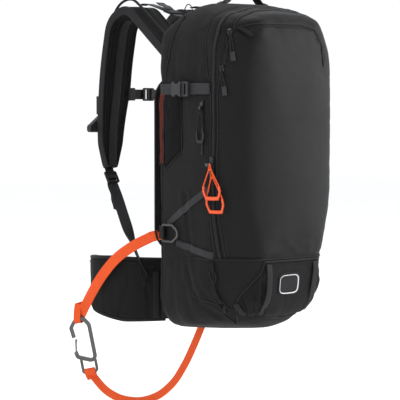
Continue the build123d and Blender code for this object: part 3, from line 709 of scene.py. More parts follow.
# Seam lines as pairs that lie on the bag: (angle, z) round the base, (y, z) up the sides
base_pairs = [(-92, 0.070), (-66, 0.050), (-40, 0.034), (0, 0.028), (40, 0.034), (66, 0.050), (92, 0.070)]
rear_pairs = [
    (-0.026, 0.035), (-0.031, 0.30), (-0.040, 0.445), (-0.047, 0.482), (-0.060, 0.53), (-0.070, 0.56),
]
seams = {
    "rear_welt": arch(rear_welt_depth, fold_z)[0],
    "front_welt": arch(front_welt_depth, fold_z)[0],
    "fold": run_on(on_round, [(-100, fold_z), (100, fold_z)], step=2)[0],
    "base": run_on(on_round, base_pairs, step=2)[0],
}
pocket_line = [
    (-0.122, 0.47), (-0.114, 0.515), (-0.100, 0.534), (-0.074, 0.541), (0.022, 0.542), (0.054, 0.535),
    (0.072, 0.508), (0.078, 0.47),
]
seams["pocket"] = run_on(on_front, pocket_line)[0]
for side, tag in BOTH_SIDES:
    seams["rear_" + tag] = run_on(on_side, rear_pairs, side=side)[0]
    seams["mesh_" + tag] = run_on(on_side, [(-0.086, 0.420), (-0.089, 0.322), (-0.036, 0.285)], side=side)[0]
    seams["lower_" + tag] = run_on(on_side, [(-0.104, 0.118), (-0.116, 0.082), (-0.140, 0.034)], side=side)[0]
    seams["panel_" + tag] = run_on(on_side, [(-0.108, 0.152), (-0.100, 0.245)], side=side)[0]
sewn = finder_of([seams[k] for k in seams if not k.startswith(("lower", "panel"))])
folds = finder_of([seams[k] for k in seams if k.startswith(("lower", "panel"))])
belt_z = box_middle("compression_rear", "z")

moves = []
for vertex in bag_form.data.vertices:
    p = vertex.co
    gap = sewn.find(p)[2]
    fold_gap = folds.find(p)[2]
    move = 0.0022 * (1 - math.exp(-((gap / 0.032) ** 2))) - 0.0016 * math.exp(-((gap / 0.0032) ** 2))
    near = math.exp(-((gap / 0.030) ** 2))
    lumpy = creases(Vector((p.x * 0.8, p.y * 0.8, p.z * 1.5)), 26)
    move += (0.0004 + 0.0012 * near) * (lumpy - 0.5)
    move += 0.0020 * noise.noise(p * 9.0)
    move -= 0.0022 * math.exp(-((fold_gap / 0.0050) ** 2))
    move += 0.0014 * math.exp(-(((fold_gap - 0.011) / 0.006) ** 2))
    if abs(p.x) > 0.1 and -0.165 < p.y < -0.01:
        pull_in = math.exp(-(((p.z - belt_z) / 0.020) ** 2))
        move -= 0.0030 * pull_in
        band = math.exp(-(((p.z - belt_z) / 0.055) ** 2)) - pull_in
        move += 0.0022 * max(0.0, band) * creases(Vector((0.2, p.y * 2.2, p.z * 0.5)), 30)
    if p.z < 0.13 and abs(p.x) > 0.1:
        move += 0.0022 * (creases(Vector((0.5, p.y * 1.4, p.z * 0.55)), 24) - 0.5)
    moves.append(move)
normals = [v.normal.copy() for v in bag_form.data.vertices]
for vertex, normal, move in zip(bag_form.data.vertices, normals, moves):
    vertex.co += normal * move
bag_form.data.update()
surface = tree_of(bag_form)

cut_back = (Vector((0, zip_back, 0)), Vector((0, 1, 0)))
cut_front = (Vector((0, zip_front - 0.0002, 0)), Vector((0, 1, 0)))
cut_fold = (Vector((0, 0, fold_z - 0.0002)), Vector((0, 0, 1)))


def in_door(c):
    return c.y < zip_back and c.z > fold_z - 0.0002


bag = trimmed(bag_form, "bag_shell", [cut_back, cut_fold], lambda c: not in_door(c), shell, 0.0016, lining)
place(bag, "pack", "bag_fabric", "main_bag")
door = trimmed(
    bag_form, "front_dome", [cut_front, cut_fold],
    lambda c: c.y < zip_front - 0.0002 and c.z > fold_z - 0.0002, front, 0.0022, lining,
)
place(door, "front_panel", "panel_fabric", "front_panel")


# ------------------------------------------------------------ zips, welts and seams on the bag


def strip_on(name, spots, across, width, thickness, material, body, slot, *replaced, crown=0.0):
    """Tape laid on the bag along spots, which is a pair of point and normal lists."""
    points, facing = spots
    if across is None:
        across = [n.cross(t) for n, t in zip(facing, tangents(points))]
    piece = ribbon(name, points, across, width, thickness, material, crown)
    return place(piece, body, slot, *replaced)


tack_pitch = 0.0018


def stitched(name, spots, body, material=thread, **extra):
    """A row of stitches on a body along spots, which is a pair of point and normal lists."""
    return place(stitches(name, spots[0], spots[1], material, **extra), body)


def aside(spots, offset):
    """The same line moved sideways over the surface by offset."""
    points, facing = spots
    runs = tangents(points)
    return [p + n.cross(t).normalized() * offset for p, n, t in zip(points, facing, runs)], facing


zip_line = arch(lambda z: zip_middle, fold_z, -0.0004)
strip_on("main_zip_tape", zip_line, None, 0.0086, 0.0016, tape, "pack", "zip_coil", "main_zip_coil")
tooth_outline = ((-1, -1), (1, -1), (1.0, 0.4), (0.5, 1), (-0.5, 1), (-1.0, 0.4))
for share, tag in ((0.0011, "a"), (-0.0011, "b")):
    teeth_line = aside(zip_line, share)
    row = even(teeth_line[0], 0.0017)
    verts, faces = [], []
    finder = finder_at(teeth_line[0])
    for a, b in zip(row, row[1:]):
        normal = teeth_line[1][finder.find(a)[1]]
        along = (b - a).normalized()
        wide = along.cross(normal).normalized()
        centre = a + normal * 0.0011
        base = len(verts)
        for end in (-0.0005, 0.0005):
            for u, w in tooth_outline:
                verts.append(centre + wide * u * 0.0013 + normal * w * 0.0006 + along * end)
        for j in range(6):
            c, d = base + j, base + (j + 1) % 6
            faces.append((c, d, d + 6, c + 6))
        faces.append(tuple(base + j for j in range(5, -1, -1)))
        faces.append(tuple(base + 6 + j for j in range(6)))
    place(mesh_object("zip_coil_" + tag, verts, faces, coil), "pack", "zip_coil")

rear_welt = arch(rear_welt_depth, fold_z, 0.0004)
place(tube("rear_welt", rear_welt[0], 0.0017, binding), "pack", "bag_fabric")
stitched("rear_welt_stitches", arch(lambda z: rear_welt_depth(z) + 0.005, fold_z, 0.0), "pack")
front_welt = arch(front_welt_depth, fold_z + 0.001, 0.0004)
place(tube("front_welt", front_welt[0], 0.0017, binding), "front_panel", "panel_fabric")
stitched(
    "front_welt_stitches", arch(lambda z: front_welt_depth(z) - 0.005, fold_z + 0.002, 0.0),
    "front_panel",
)

pocket = run_on(on_front, pocket_line, 0.0006)
place(tube("pocket_welt", pocket[0], 0.0015, binding, sides=8), "front_panel", "panel_fabric")
pocket_tape = run_on(on_front, pocket_line[1:-1], 0.0003)
strip_on(
    "pocket_zip_tape", aside(pocket_tape, -0.0042), None, 0.006, 0.0014, tape, "front_panel", "zip_coil",
    "pocket_zip_coil",
)
stitched("pocket_stitches", aside(run_on(on_front, pocket_line, 0.0), 0.0055), "front_panel")

for side, tag in BOTH_SIDES:
    edge = run_on(on_side, rear_pairs, 0.0006, side=side)
    place(tube("rear_piping_" + tag, edge[0], 0.0019, binding), "pack", "bag_fabric")
    stitched("rear_stitches_" + tag, aside(edge, 0.0045 * side), "pack")
    lower_seam = run_on(on_side, [(-0.108, 0.150), (-0.101, 0.262)], 0.0001, side=side)
    stitched("side_seam_stitches_" + tag, lower_seam, "pack")

fold = run_on(on_round, [(-96, fold_z - 0.003), (96, fold_z - 0.003)], 0.0004, step=1.5)
place(tube("fold_welt", fold[0], 0.0014, binding, sides=8), "pack", "bag_fabric")
base = run_on(on_round, base_pairs, 0.0005, step=1.5)
place(tube("base_piping", base[0], 0.0019, binding), "pack", "bag_fabric")
stitched("base_stitches", run_on(on_round, [(a, z + 0.006) for a, z in base_pairs], 0.0, step=1.5), "pack")


# ------------------------------------------------------------ lower front pocket with its bellows


def pocket_rim(z):
    """Where the bellows meet the bag, in degrees round from the middle: wider towards the base."""
    return ramp(z, 0.046, 0.130, 57, 31)


def lower_pocket_lift(angle, z):
    """How far the pocket stands off the bag: a flat front face, and bellows that fold at both sides."""
    rim = pocket_rim(z)
    side = ramp(abs(angle), 23, 29, 0.0, 1.0)
    edge = ramp(z, 0.032, 0.042, 0.0, 1.0) * (1 - ramp(z, 0.122, 0.131, 0.0, 1.0))
    point = Vector((math.copysign(0.3, angle), angle * 0.011, z * 2.0 + angle * 0.012))
    wrinkle = creases(point, 13) - 0.45
    inside = 1 - ramp(abs(angle), rim - 5, rim, 0.0, 1.0)
    return 0.0009 + edge * inside * (
        0.0022 + side * (0.0052 * wrinkle) + (1 - side) * 0.0006 * noise.noise(point * 9)
    )


low_z, high_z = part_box("lower_front_skin")[0].z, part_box("lower_front_skin")[1].z
columns, rows = 150, 56
verts, faces, flat = [], [], []
for j in range(rows + 1):
    z = low_z + (high_z - low_z) * j / rows
    for i in range(columns + 1):
        angle = pocket_rim(z) * (2 * i / columns - 1)
        point, normal = on_round(angle, z, 0.0)
        verts.append(point + normal * max(0.0006, lower_pocket_lift(angle, z)))
        flat.append((angle * 0.003, z))
for j in range(rows):
    for i in range(columns):
        a = j * (columns + 1) + i
        faces.append((a, a + 1, a + columns + 2, a + columns + 1))
skin = mesh_object("lower_pocket", verts, faces, trim, flat)
thicken(skin, 0.0012, -1)
change = skin.modifiers.new("Smooth", "SUBSURF")
change.levels = 1
change.render_levels = 1
apply_modifiers(skin)
place(skin, "pack", "trim_fabric", "lower_front_skin")
top_edge = run_on(on_round, [(-pocket_rim(high_z), high_z), (pocket_rim(high_z), high_z)], 0.0022, step=1.5)
place(tube("pocket_top_binding", top_edge[0], 0.0018, binding), "pack", "trim_fabric")
stitched(
    "pocket_top_stitches",
    run_on(on_round, [(-29, high_z - 0.006), (29, high_z - 0.006)], 0.0030, step=1.5), "pack",
)
for side in (-1, 1):
    edge = [
        on_round(side * pocket_rim(z), z, 0.0012)
        for z in (low_z + (high_z - low_z) * k / 40 for k in range(41))
    ]
    edge = [[s[0] for s in edge], [s[1] for s in edge]]
    place(
        tube(f"pocket_side_binding_{side}".replace("-", "m"), edge[0], 0.0016, binding, sides=8), "pack",
        "trim_fabric",
    )

loops = []
for side in (-1, 1):
    route = []
    for x, z in (
        (0.054, 0.128), (0.055, 0.118), (0.053, 0.100), (0.052, 0.080), (0.052, 0.062), (0.050, 0.048),
        (0.049, 0.042),
    ):
        proud = 0.0040 + (0.0022 if 0.05 < z < 0.12 else 0.0)
        route.append(on_front(side * x, z, proud)[0])
    loops.append(
        ribbon(
            f"tool_loop_{(side + 1) // 2}", rounded(route, 0.003), Vector((1, 0, 0)), 0.012, 0.0017,
            black_web,
        )
    )
    place(loops[-1], "pack", "black_webbing")
    for z in (0.124, 0.118, 0.0465):
        tack = even(
            [on_front(side * 0.053 - 0.005, z, 0.0052)[0], on_front(side * 0.053 + 0.005, z, 0.0052)[0]],
            0.001,
        )
        stitched(
            f"tool_tack_{(side + 1) // 2}_{int(z * 10000)}", (tack, [Vector((0, -1, 0))] * len(tack)),
            "pack", pitch=0.0016,
        )
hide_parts("tool_loops")

centre_x, centre_z = box_middle("label_patch", "x"), box_middle("label_patch", "z")


def patch(name, half_x, half_z, lift, thickness, material, corner=0.25):
    """A rounded patch that follows the lower front."""
    ring = []
    for k in range(40):
        turn = 2 * math.pi * k / 40
        c, s = math.cos(turn), math.sin(turn)
        ring.append(
            (math.copysign(abs(c) ** corner, c) * half_x, math.copysign(abs(s) ** corner, s) * half_z)
        )
    verts, faces, flat = [], [], []
    for layer in range(9):
        share = 1 - layer / 9
        for x, z in ring:
            verts.append(on_front(centre_x + x * share, centre_z + z * share, lift)[0])
            flat.append((x * share, z * share))
    verts.append(on_front(centre_x, centre_z, lift)[0])
    flat.append((0, 0))
    for layer in range(8):
        for k in range(40):
            a, b = layer * 40 + k, layer * 40 + (k + 1) % 40
            faces.append((a, b, b + 40, a + 40))
    for k in range(40):
        faces.append((8 * 40 + k, 8 * 40 + (k + 1) % 40, len(verts) - 1))
    made = mesh_object(name, verts, faces, material, flat)
    thicken(made, thickness, -1)
    return apply_modifiers(made)


place(
    patch("label_ground", 0.0245, 0.0192, 0.0042, 0.0012, label_ground, 0.4), "pack", "label_white",
    "label_patch",
)
border = []
for k in range(61):
    turn = 2 * math.pi * k / 60
    c, s = math.cos(turn), math.sin(turn)
    x, z = math.copysign(abs(c) ** 0.45, c) * 0.0214, math.copysign(abs(s) ** 0.45, s) * 0.0158
    border.append(on_front(centre_x + x, centre_z + z, 0.0048)[0])
place(
    ribbon(
        "label_border", border,
        [(on_front(centre_x, centre_z)[0] + Vector((0, 0.02, 0)) - p).normalized() for p in border],
        0.0020, 0.0009, label_yarn,
    ),
    "pack", "label_white",
)


# ------------------------------------------------------------ left side and right side details


def side_sheet(name, low_edge, high_edge, lift, thickness, material, side, columns=24, rows=30):
    """A patch on the bag's side between two (y, z) lines of equal length."""
    verts, faces, flat = [], [], []
    low_line = even([Vector((y, z, 0)) for y, z in low_edge], 0.001)
    high_line = even([Vector((y, z, 0)) for y, z in high_edge], 0.001)
    for j in range(rows + 1):
        for i in range(columns + 1):
            a = low_line[round(i / columns * (len(low_line) - 1))]
            b = high_line[round(i / columns * (len(high_line) - 1))]
            p = a.lerp(b, j / rows)
            verts.append(on_side(p.x, p.y, lift, side)[0])
            flat.append((p.x, p.y))
    for j in range(rows):
        for i in range(columns):
            a = j * (columns + 1) + i
            face = (a, a + 1, a + columns + 2, a + columns + 1)
            faces.append(face if side < 0 else face[::-1])
    made = mesh_object(name, verts, faces, material, flat)
    thicken(made, thickness, -1)
    return apply_modifiers(made)


ring_wire = 0.0045
red_low, red_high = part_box("burst_seams")
red_y = box_middle("burst_seams", "y")
for side, tag in BOTH_SIDES:
    out = Vector((side, 0, 0))
    red = run_on(on_side, [(red_y, red_low.z), (red_y, red_high.z)], 0.0011, side=side)
    piece = ribbon("burst_cover_" + tag, red[0], Vector((0, 1, 0)), 0.0135, 0.0016, red_mesh, 0.0004)
    place(piece, "pack", "balloon_red")
    if side < 0:
        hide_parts("burst_seams")
    for offset in (-0.0082, 0.0082):
        line = run_on(
            on_side, [(red_y + offset, red_low.z - 0.004), (red_y + offset, red_high.z)], 0.0010,
            side=side,
        )
        name = f"burst_edge_{tag}_{'a' if offset < 0 else 'b'}"
        place(tube(name, line[0], 0.0013, tape, sides=8), "pack", "bag_fabric")
    mesh_piece = side_sheet(
        "side_mesh_" + tag, [(-0.086, 0.324), (-0.043, 0.292)], [(-0.084, 0.4175), (-0.043, 0.4175)],
        0.0009, 0.001, pocket_mesh, side,
    )
    place(mesh_piece, "pack", "mesh_foam")
    rim = run_on(on_side, [(-0.084, 0.4175), (-0.088, 0.323), (-0.036, 0.284)], 0.0009, side=side)
    place(tube("side_mesh_rim_" + tag, rim[0], 0.0013, binding, sides=8), "pack", "bag_fabric")
    stitched("side_mesh_stitches_" + tag, aside(rim, 0.004 * side), "pack")

    low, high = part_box("compression_rear")
    belt = run_on(on_side, [(low.y + 0.001, belt_z), (high.y, belt_z)], 0.0030, side=side)
    piece = ribbon("compression_web_" + tag, belt[0], UP, web_width, 0.0018, grey_web)
    place(piece, "pack", "grey_webbing")
    if side < 0:
        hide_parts("compression_rear")
    for y in (high.y - 0.006, high.y - 0.011):
        spot = run_on(on_side, [(y, belt_z - 0.008), (y, belt_z + 0.008)], 0.0039, side=side)
        stitched(f"compression_tack_{tag}_{int(-y * 10000)}", (spot[0], spot[1]), "pack", pitch=0.0016)
    node_name = "compression_front_" + tag
    low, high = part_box(node_name)
    belt = run_on(on_side, [(low.y + 0.002, belt_z), (high.y, belt_z)], 0.0050, side=side)
    piece = ribbon("compression_front_web_" + tag, belt[0], UP, web_width, 0.0018, grey_web)
    place(piece, "side_plug_" + tag, "grey_webbing", node_name)

    legs = (((-0.050, 0.192), (-0.163, 0.258)), ((-0.074, 0.160), (-0.163, 0.142)))
    for number, (start, end) in enumerate(legs):
        leg = run_on(on_side, [start, end], 0.0012, side=side)
        run = (leg[0][-1] - leg[0][0]).normalized()
        piece = ribbon(f"v_strap_{tag}_{number}", leg[0], out.cross(run), 0.0125, 0.0015, grey_web)
        place(piece, "pack", "grey_webbing")
        if side < 0 and number == 0:
            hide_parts("v_straps")
        for offset in (-0.0048, 0.0048):
            line = aside((leg[0][:6], leg[1][:6]), offset)
            stitched(
                f"v_tack_{tag}_{number}_{'a' if offset < 0 else 'b'}",
                ([p + out * 0.0009 for p in line[0]], line[1]), "pack", pitch=0.002,
            )
    ring = "side_ring_" + tag
    ring_x, ring_z = box_middle(ring, "x"), box_middle(ring, "z")
    bar_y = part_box(ring)[1].y - ring_wire / 2
    wall = on_side(bar_y + 0.02, ring_z, 0.0012, side)[0].x
    tab_route = [
        (wall, bar_y + 0.026, ring_z), (wall, bar_y + 0.010, ring_z),
        (ring_x + side * 0.0010, bar_y + 0.0045, ring_z),
        (ring_x + side * 0.0036, bar_y, ring_z), (ring_x, bar_y - 0.0036, ring_z),
        (ring_x - side * 0.0036, bar_y, ring_z),
        (wall - side * 0.0004, bar_y + 0.010, ring_z),
    ]
    piece = ribbon("ring_tab_" + tag, rounded(tab_route, 0.0015), UP, 0.0235, 0.0014, black_web)
    place(piece, "pack", "black_webbing")
    if side < 0:
        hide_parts("ring_tabs")
    for y in (bar_y + 0.014, bar_y + 0.021):
        column = [Vector((wall + side * 0.0009, y, ring_z + k * 0.002)) for k in range(-5, 6)]
        stitched(
            f"ring_tack_{tag}_{int(-y * 10000)}", (column, [out] * len(column)), "pack", pitch=tack_pitch,
        )

# Tool sleeve by the front corner: a flat sleeve, an elastic loop through it and two cord ends
sleeve = run_on(on_side, [(-0.1585, 0.060), (-0.1585, 0.132)], 0.0022)
place(
    ribbon("tool_sleeve", sleeve[0], Vector((0, 1, 0)), 0.0125, 0.0026, trim, 0.0012), "pack",
    "trim_fabric",
)
for offset in (-0.0055, 0.0055):
    line = [p + Vector((-0.0018, offset, 0)) for p in sleeve[0]]
    place(stitches(f"sleeve_stitches_{'a' if offset < 0 else 'b'}", line, sleeve[1], thread), "pack")
elastic = [(-0.1555, 0.066), (-0.1520, 0.050), (-0.1580, 0.038), (-0.1640, 0.050), (-0.1615, 0.066)]
elastic_line = rounded([on_side(y, z, 0.0034)[0] for y, z in elastic], 0.0015)
place(tube("tool_elastic", elastic_line, 0.0012, black_web, sides=8), "pack", "black_webbing")
upper_elastic = [(-0.1600, 0.120), (-0.1650, 0.108), (-0.1630, 0.094), (-0.1570, 0.100), (-0.1560, 0.114)]
upper_line = rounded([on_side(y, z, 0.0052)[0] for y, z in upper_elastic], 0.0015)
place(tube("tool_elastic_upper", upper_line, 0.0012, binding, sides=8), "pack", "black_webbing")
toggle = on_side(-0.1580, 0.0500, 0.0046)[0]
toggle_line = [toggle + Vector((0, 0, 0.0011 * k)) for k in range(-6, 7)]
place(tube("tool_toggle", toggle_line, 0.0034, black_plastic, sides=14), "pack", "black_plastic")

tab = [on_round(-56, 0.060, 0.0040)[0], on_round(-53, 0.050, 0.0046)[0], on_round(-50, 0.040, 0.0044)[0]]
place(
    ribbon("base_tab", rounded(tab, 0.002), Vector((0.8, -0.6, 0)), 0.0095, 0.0016, black_web), "pack",
    "black_webbing",
)
slit = [
    on_side(-0.150, 0.036, 0.0010)[0], on_side(-0.153, 0.022, 0.0014)[0], on_round(-66, 0.016, 0.0012)[0],
    on_round(-59, 0.022, 0.0012)[0], on_round(-58, 0.034, 0.0012)[0],
]
place(tube("base_slot_rim", rounded(slit, 0.002), 0.0012, binding, sides=8), "pack", "bag_fabric")

# Short side zip with its coated tape
low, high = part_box("side_zip_coil")
side_zip_y = box_middle("side_zip_coil", "y")
side_zip = run_on(on_side, [(side_zip_y, low.z), (side_zip_y, high.z)], 0.0006)
strip_on(
    "side_zip_tape", side_zip, Vector((0, 1, 0)), 0.0075, 0.0013, tape, "pack", "zip_coil",
    "side_zip_coil",
)
place(
    tube("side_zip_line", [p + Vector((-0.0006, 0, 0)) for p in side_zip[0]], 0.0009, coil, sides=6),
    "pack", "zip_coil",
)

# Thin cord loop at the top corner and the garage for the pocket slider
loop_route = [
    on_top(-0.101, -0.080, 0.0)[0], Vector((-0.106, -0.080, 0.578)), Vector((-0.112, -0.078, 0.580)),
    Vector((-0.118, -0.074, 0.566)), on_side(-0.072, 0.552, 0.0)[0],
]
place(tube("corner_cord", rounded(loop_route, 0.0015), 0.0009, black_web, sides=8), "pack", "black_webbing")


# ------------------------------------------------------------ pulls


def hanging_pull(
    name, eye, turn, drop, width, height, depth, cord_material, tab_material, body, slot, replaced,
    lean=0.0,
):
    """A cord loop from eye that spreads to a moulded U-shaped tab, hanging in a vertical plane."""
    across = Vector((math.sin(turn), -math.cos(turn), 0))
    outward = Vector((-math.cos(turn), -math.sin(turn), 0))

    def spot(a, b, c=0.0):
        return Vector(eye) + across * (a - lean * b / (drop + height)) + UP * b + outward * c

    half = width / 2 - depth / 2
    bottom = -drop - height + depth / 2
    u_route = [
        spot(-half + 0.001, -drop - 0.001), spot(-half, -drop - height * 0.45),
        spot(-half * 0.72, bottom), spot(half * 0.72, bottom), spot(half, -drop - height * 0.45),
        spot(half - 0.001, -drop - 0.001),
    ]
    tab = ribbon(name + "_tab", rounded(u_route, 0.0012, 0.22), outward, depth, depth * 0.92, tab_material)
    foot_route = [
        spot(-half * 0.80, bottom + depth * 0.2), spot(-half * 0.4, bottom), spot(half * 0.4, bottom),
        spot(half * 0.80, bottom + depth * 0.2),
    ]
    place(
        ribbon(
            name + "_foot", rounded(foot_route, 0.0012, 0.3), outward, depth * 1.1, depth * 1.45,
            tab_material, 0.0004,
        ),
        body, slot,
    )
    grip = [spot(k * half * 0.12, bottom - depth * 0.45) for k in range(-5, 6)]
    for number, rib in enumerate(grip):
        bar = [rib - outward * depth * 0.42, rib, rib + outward * depth * 0.42]
        ridge = tube(f"{name}_grip_{number}", bar, 0.0005, tab_material, sides=6)
        place(ridge, body, slot)
    cord_route = [
        spot(-half + 0.0012, -drop - 0.006), spot(-half + 0.001, -drop), spot(-0.0022, -0.009),
        spot(-0.0012, -0.001),
        spot(0.0, 0.0018, 0.0), spot(0.0012, -0.001), spot(0.0022, -0.009), spot(half - 0.001, -drop),
        spot(half - 0.0012, -drop - 0.006),
    ]
    cord_piece = tube(name + "_cord", rounded(cord_route, 0.0012, 0.4), 0.00115, cord_material, sides=8)
    knot = [spot(0, -0.0085 - 0.0007 * k) for k in range(-3, 4)]
    whip = tube(name + "_whipping", knot, 0.0026, cord_material, sides=10)
    place(cord_piece, body, slot)
    place(whip, body, slot)
    return place(tab, body, slot, replaced)


turn = math.radians(18)
hanging_pull(
    "upper_pull", (-0.1430, -0.1740, 0.300), turn, 0.036, 0.037, 0.024, 0.0044, orange_web, orange_soft,
    "pull_upper", "orange_pull", "main_pull_upper", 0.006,
)
hanging_pull(
    "lower_pull", (-0.1385, -0.1745, 0.286), turn, 0.043, 0.037, 0.026, 0.0040, orange_web, orange_soft,
    "pull_lower", "orange_pull", "main_pull_lower", 0.009,
)
hanging_pull(
    "side_zip_pull", (-0.140, -0.146, 0.397), 0.0, 0.040, 0.022, 0.020, 0.0040, black_web, dark_soft,
    "side_pull", "dark_pull", "side_pull",
)


def small_slider(name, centre, normal, along, cord_end, body):
    """A small zip slider with a thin cord that hangs from it."""
    wide = normal.cross(along).normalized()
    spine = [centre + along * 0.0055, centre + along * 0.001, centre - along * 0.005]
    base = ribbon(name + "_body", spine, wide, 0.0075, 0.0022, slider_metal)
    bridge = rounded(
        [
            centre + along * 0.004, centre + along * 0.003 + normal * 0.0034,
            centre - along * 0.003 + normal * 0.0034, centre - along * 0.004,
        ],
        0.0008,
    )
    arch_piece = ribbon(name + "_bridge", bridge, wide, 0.0024, 0.0010, slider_metal)
    start = centre + normal * 0.0030
    middle = (start + cord_end) / 2 + normal * 0.0015
    left = rounded([start, middle - wide * 0.0022, cord_end - wide * 0.0028, cord_end - along * 0.004], 0.001)
    right = rounded(
        [start, middle + wide * 0.0022, cord_end + wide * 0.0028, cord_end - along * 0.004], 0.001,
    )
    for number, line in enumerate((left, right)):
        place(tube(f"{name}_cord_{number}", line, 0.00095, black_web, sides=8), body, "black_webbing")
    grip = [cord_end + along * 0.004, cord_end - along * 0.004, cord_end - along * 0.012]
    place(ribbon(name + "_grip", rounded(grip, 0.002), wide, 0.0085, 0.0026, dark_soft), body, "dark_pull")
    place(base, body, "zip_metal")
    place(arch_piece, body, "zip_metal")


spot, normal = on_front(-0.108, 0.527, 0.0022)
end = on_front(-0.113, 0.488, 0.0030)[0]
small_slider("pocket_slider", spot, normal, (spot - end).normalized(), end, "front_panel")
spot, normal = on_round(-62, 0.464, 0.0020)
end = on_round(-60, 0.430, 0.0030)[0]
small_slider("stow_slider", spot, normal, (spot - end).normalized(), end, "front_panel")
garage = run_on(on_front, [(-0.096, 0.536), (-0.086, 0.519)], 0.0018, step=0.002)
place(
    ribbon("slider_garage", garage[0], Vector((1, 0, 0.5)), 0.010, 0.0016, trim, 0.001), "front_panel",
    "trim_fabric",
)


# ------------------------------------------------------------ back pads and what is inside the bag


def shrunk_then_swollen(source, name, voxel, material, inset, pressure, cap):
    piece = soft_copy(source, name, voxel, material, smooth=3, shrink=inset)
    return swell(piece, pressure, cap)


def ring_line(low, high, corner, y, inset=0.0):
    """A rounded rectangle in the plane at y, closed."""
    x0, x1, z0, z1 = low.x + inset, high.x - inset, low.z + inset, high.z - inset
    out = []
    for cx, cz, first in (
        (x1 - corner, z1 - corner, 0), (x0 + corner, z1 - corner, 90), (x0 + corner, z0 + corner, 180),
        (x1 - corner, z0 + corner, 270),
    ):
        for k in range(10):
            turn = math.radians(first + 10 * k)
            out.append(Vector((cx + corner * math.cos(turn), y, cz + corner * math.sin(turn))))
    out.append(out[0].copy())
    return even(out, 0.004)


back = shrunk_then_swollen("back_pad", "back_foam", 0.0042, air_mesh, 0.0012, 3.0, 0.0030)
low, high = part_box("back_pad")
mid_z = box_middle("back_pad", "z")
channels = [ring_line(low, high, 0.036, high.y, 0.014)]
for side in (-1, 1):
    for z in (low.z + 0.075, mid_z, high.z - 0.075):
        channels.append(
            [
                Vector((side * 0.030, high.y, z + 0.012)), Vector((side * 0.065, high.y, z)),
                Vector((side * 0.105, high.y, z - 0.014)),
            ]
        )
pressed(back, channels, 0.0030, 0.0040, puff=0.0012, reach=0.018)
place(back, "pack", "mesh_foam", "back_pad")
rim = ring_line(low, high, 0.040, low.y + 0.003)
place(tube("back_pad_piping", rim, 0.0019, binding, closed=True), "pack", "trim_fabric")

lumbar = shrunk_then_swollen("lumbar_pad", "lumbar_foam", 0.0040, air_mesh, 0.0012, 3.0, 0.0030)
low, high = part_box("lumbar_pad")
lumbar_lines = [ring_line(low, high, 0.028, high.y, 0.012)]
lumbar_lines.append(
    [Vector((-0.05, high.y, 0.082)), Vector((0, high.y, 0.074)), Vector((0.05, high.y, 0.082))]
)
pressed(lumbar, lumbar_lines, 0.0026, 0.0036, puff=0.0010, reach=0.016)
place(lumbar, "pack", "mesh_foam", "lumbar_pad")
place(
    tube("lumbar_piping", ring_line(low, high, 0.031, low.y + 0.003), 0.0018, binding, closed=True),
    "pack", "trim_fabric",
)

folded = shrunk_then_swollen("folded_airbag", "folded_balloon", 0.0060, balloon, 0.0030, 3.0, 0.0040)
low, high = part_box("folded_airbag")
pleats = []
for k in range(5):
    y = low.y + (high.y - low.y) * (k + 0.5) / 5
    pleats.append(
        [
            Vector((-0.116, y, low.z)), Vector((-0.112, y, high.z - 0.03)), Vector((-0.07, y, high.z)),
            Vector((0.07, y, high.z)), Vector((0.112, y, high.z - 0.03)), Vector((0.116, y, low.z)),
        ]
    )
    pleats.append(
        [
            Vector((-0.088, y, low.z)), Vector((-0.086, y, high.z - 0.05)),
            Vector((0.086, y, high.z - 0.05)), Vector((0.088, y, low.z)),
        ]
    )
pressed(folded, pleats, 0.0034, 0.0040, puff=0.0010, reach=0.010)
for vertex in folded.data.vertices:
    vertex.co += vertex.normal * (0.0016 * (creases(vertex.co * 1.0, 30) - 0.6))
place(folded, "pack", "balloon_red", "folded_airbag")


# ------------------------------------------------------------ shoulder straps


chest_y = box_middle("sternum_clip_left", "y")
strap_route = [
    (-0.0086, 0.466), (-0.0086, 0.492), (0.060, 0.541), (0.118, 0.584), (0.168, 0.562), (chest_y, 0.472),
    (chest_y, 0.376), (0.166, 0.286),
]
strap_middle = rounded([(0, y, z) for y, z in strap_route], 0.005, 0.42)


def strap_axis(z):
    return -ramp(z, 0.29, 0.56, 0.099, 0.064)


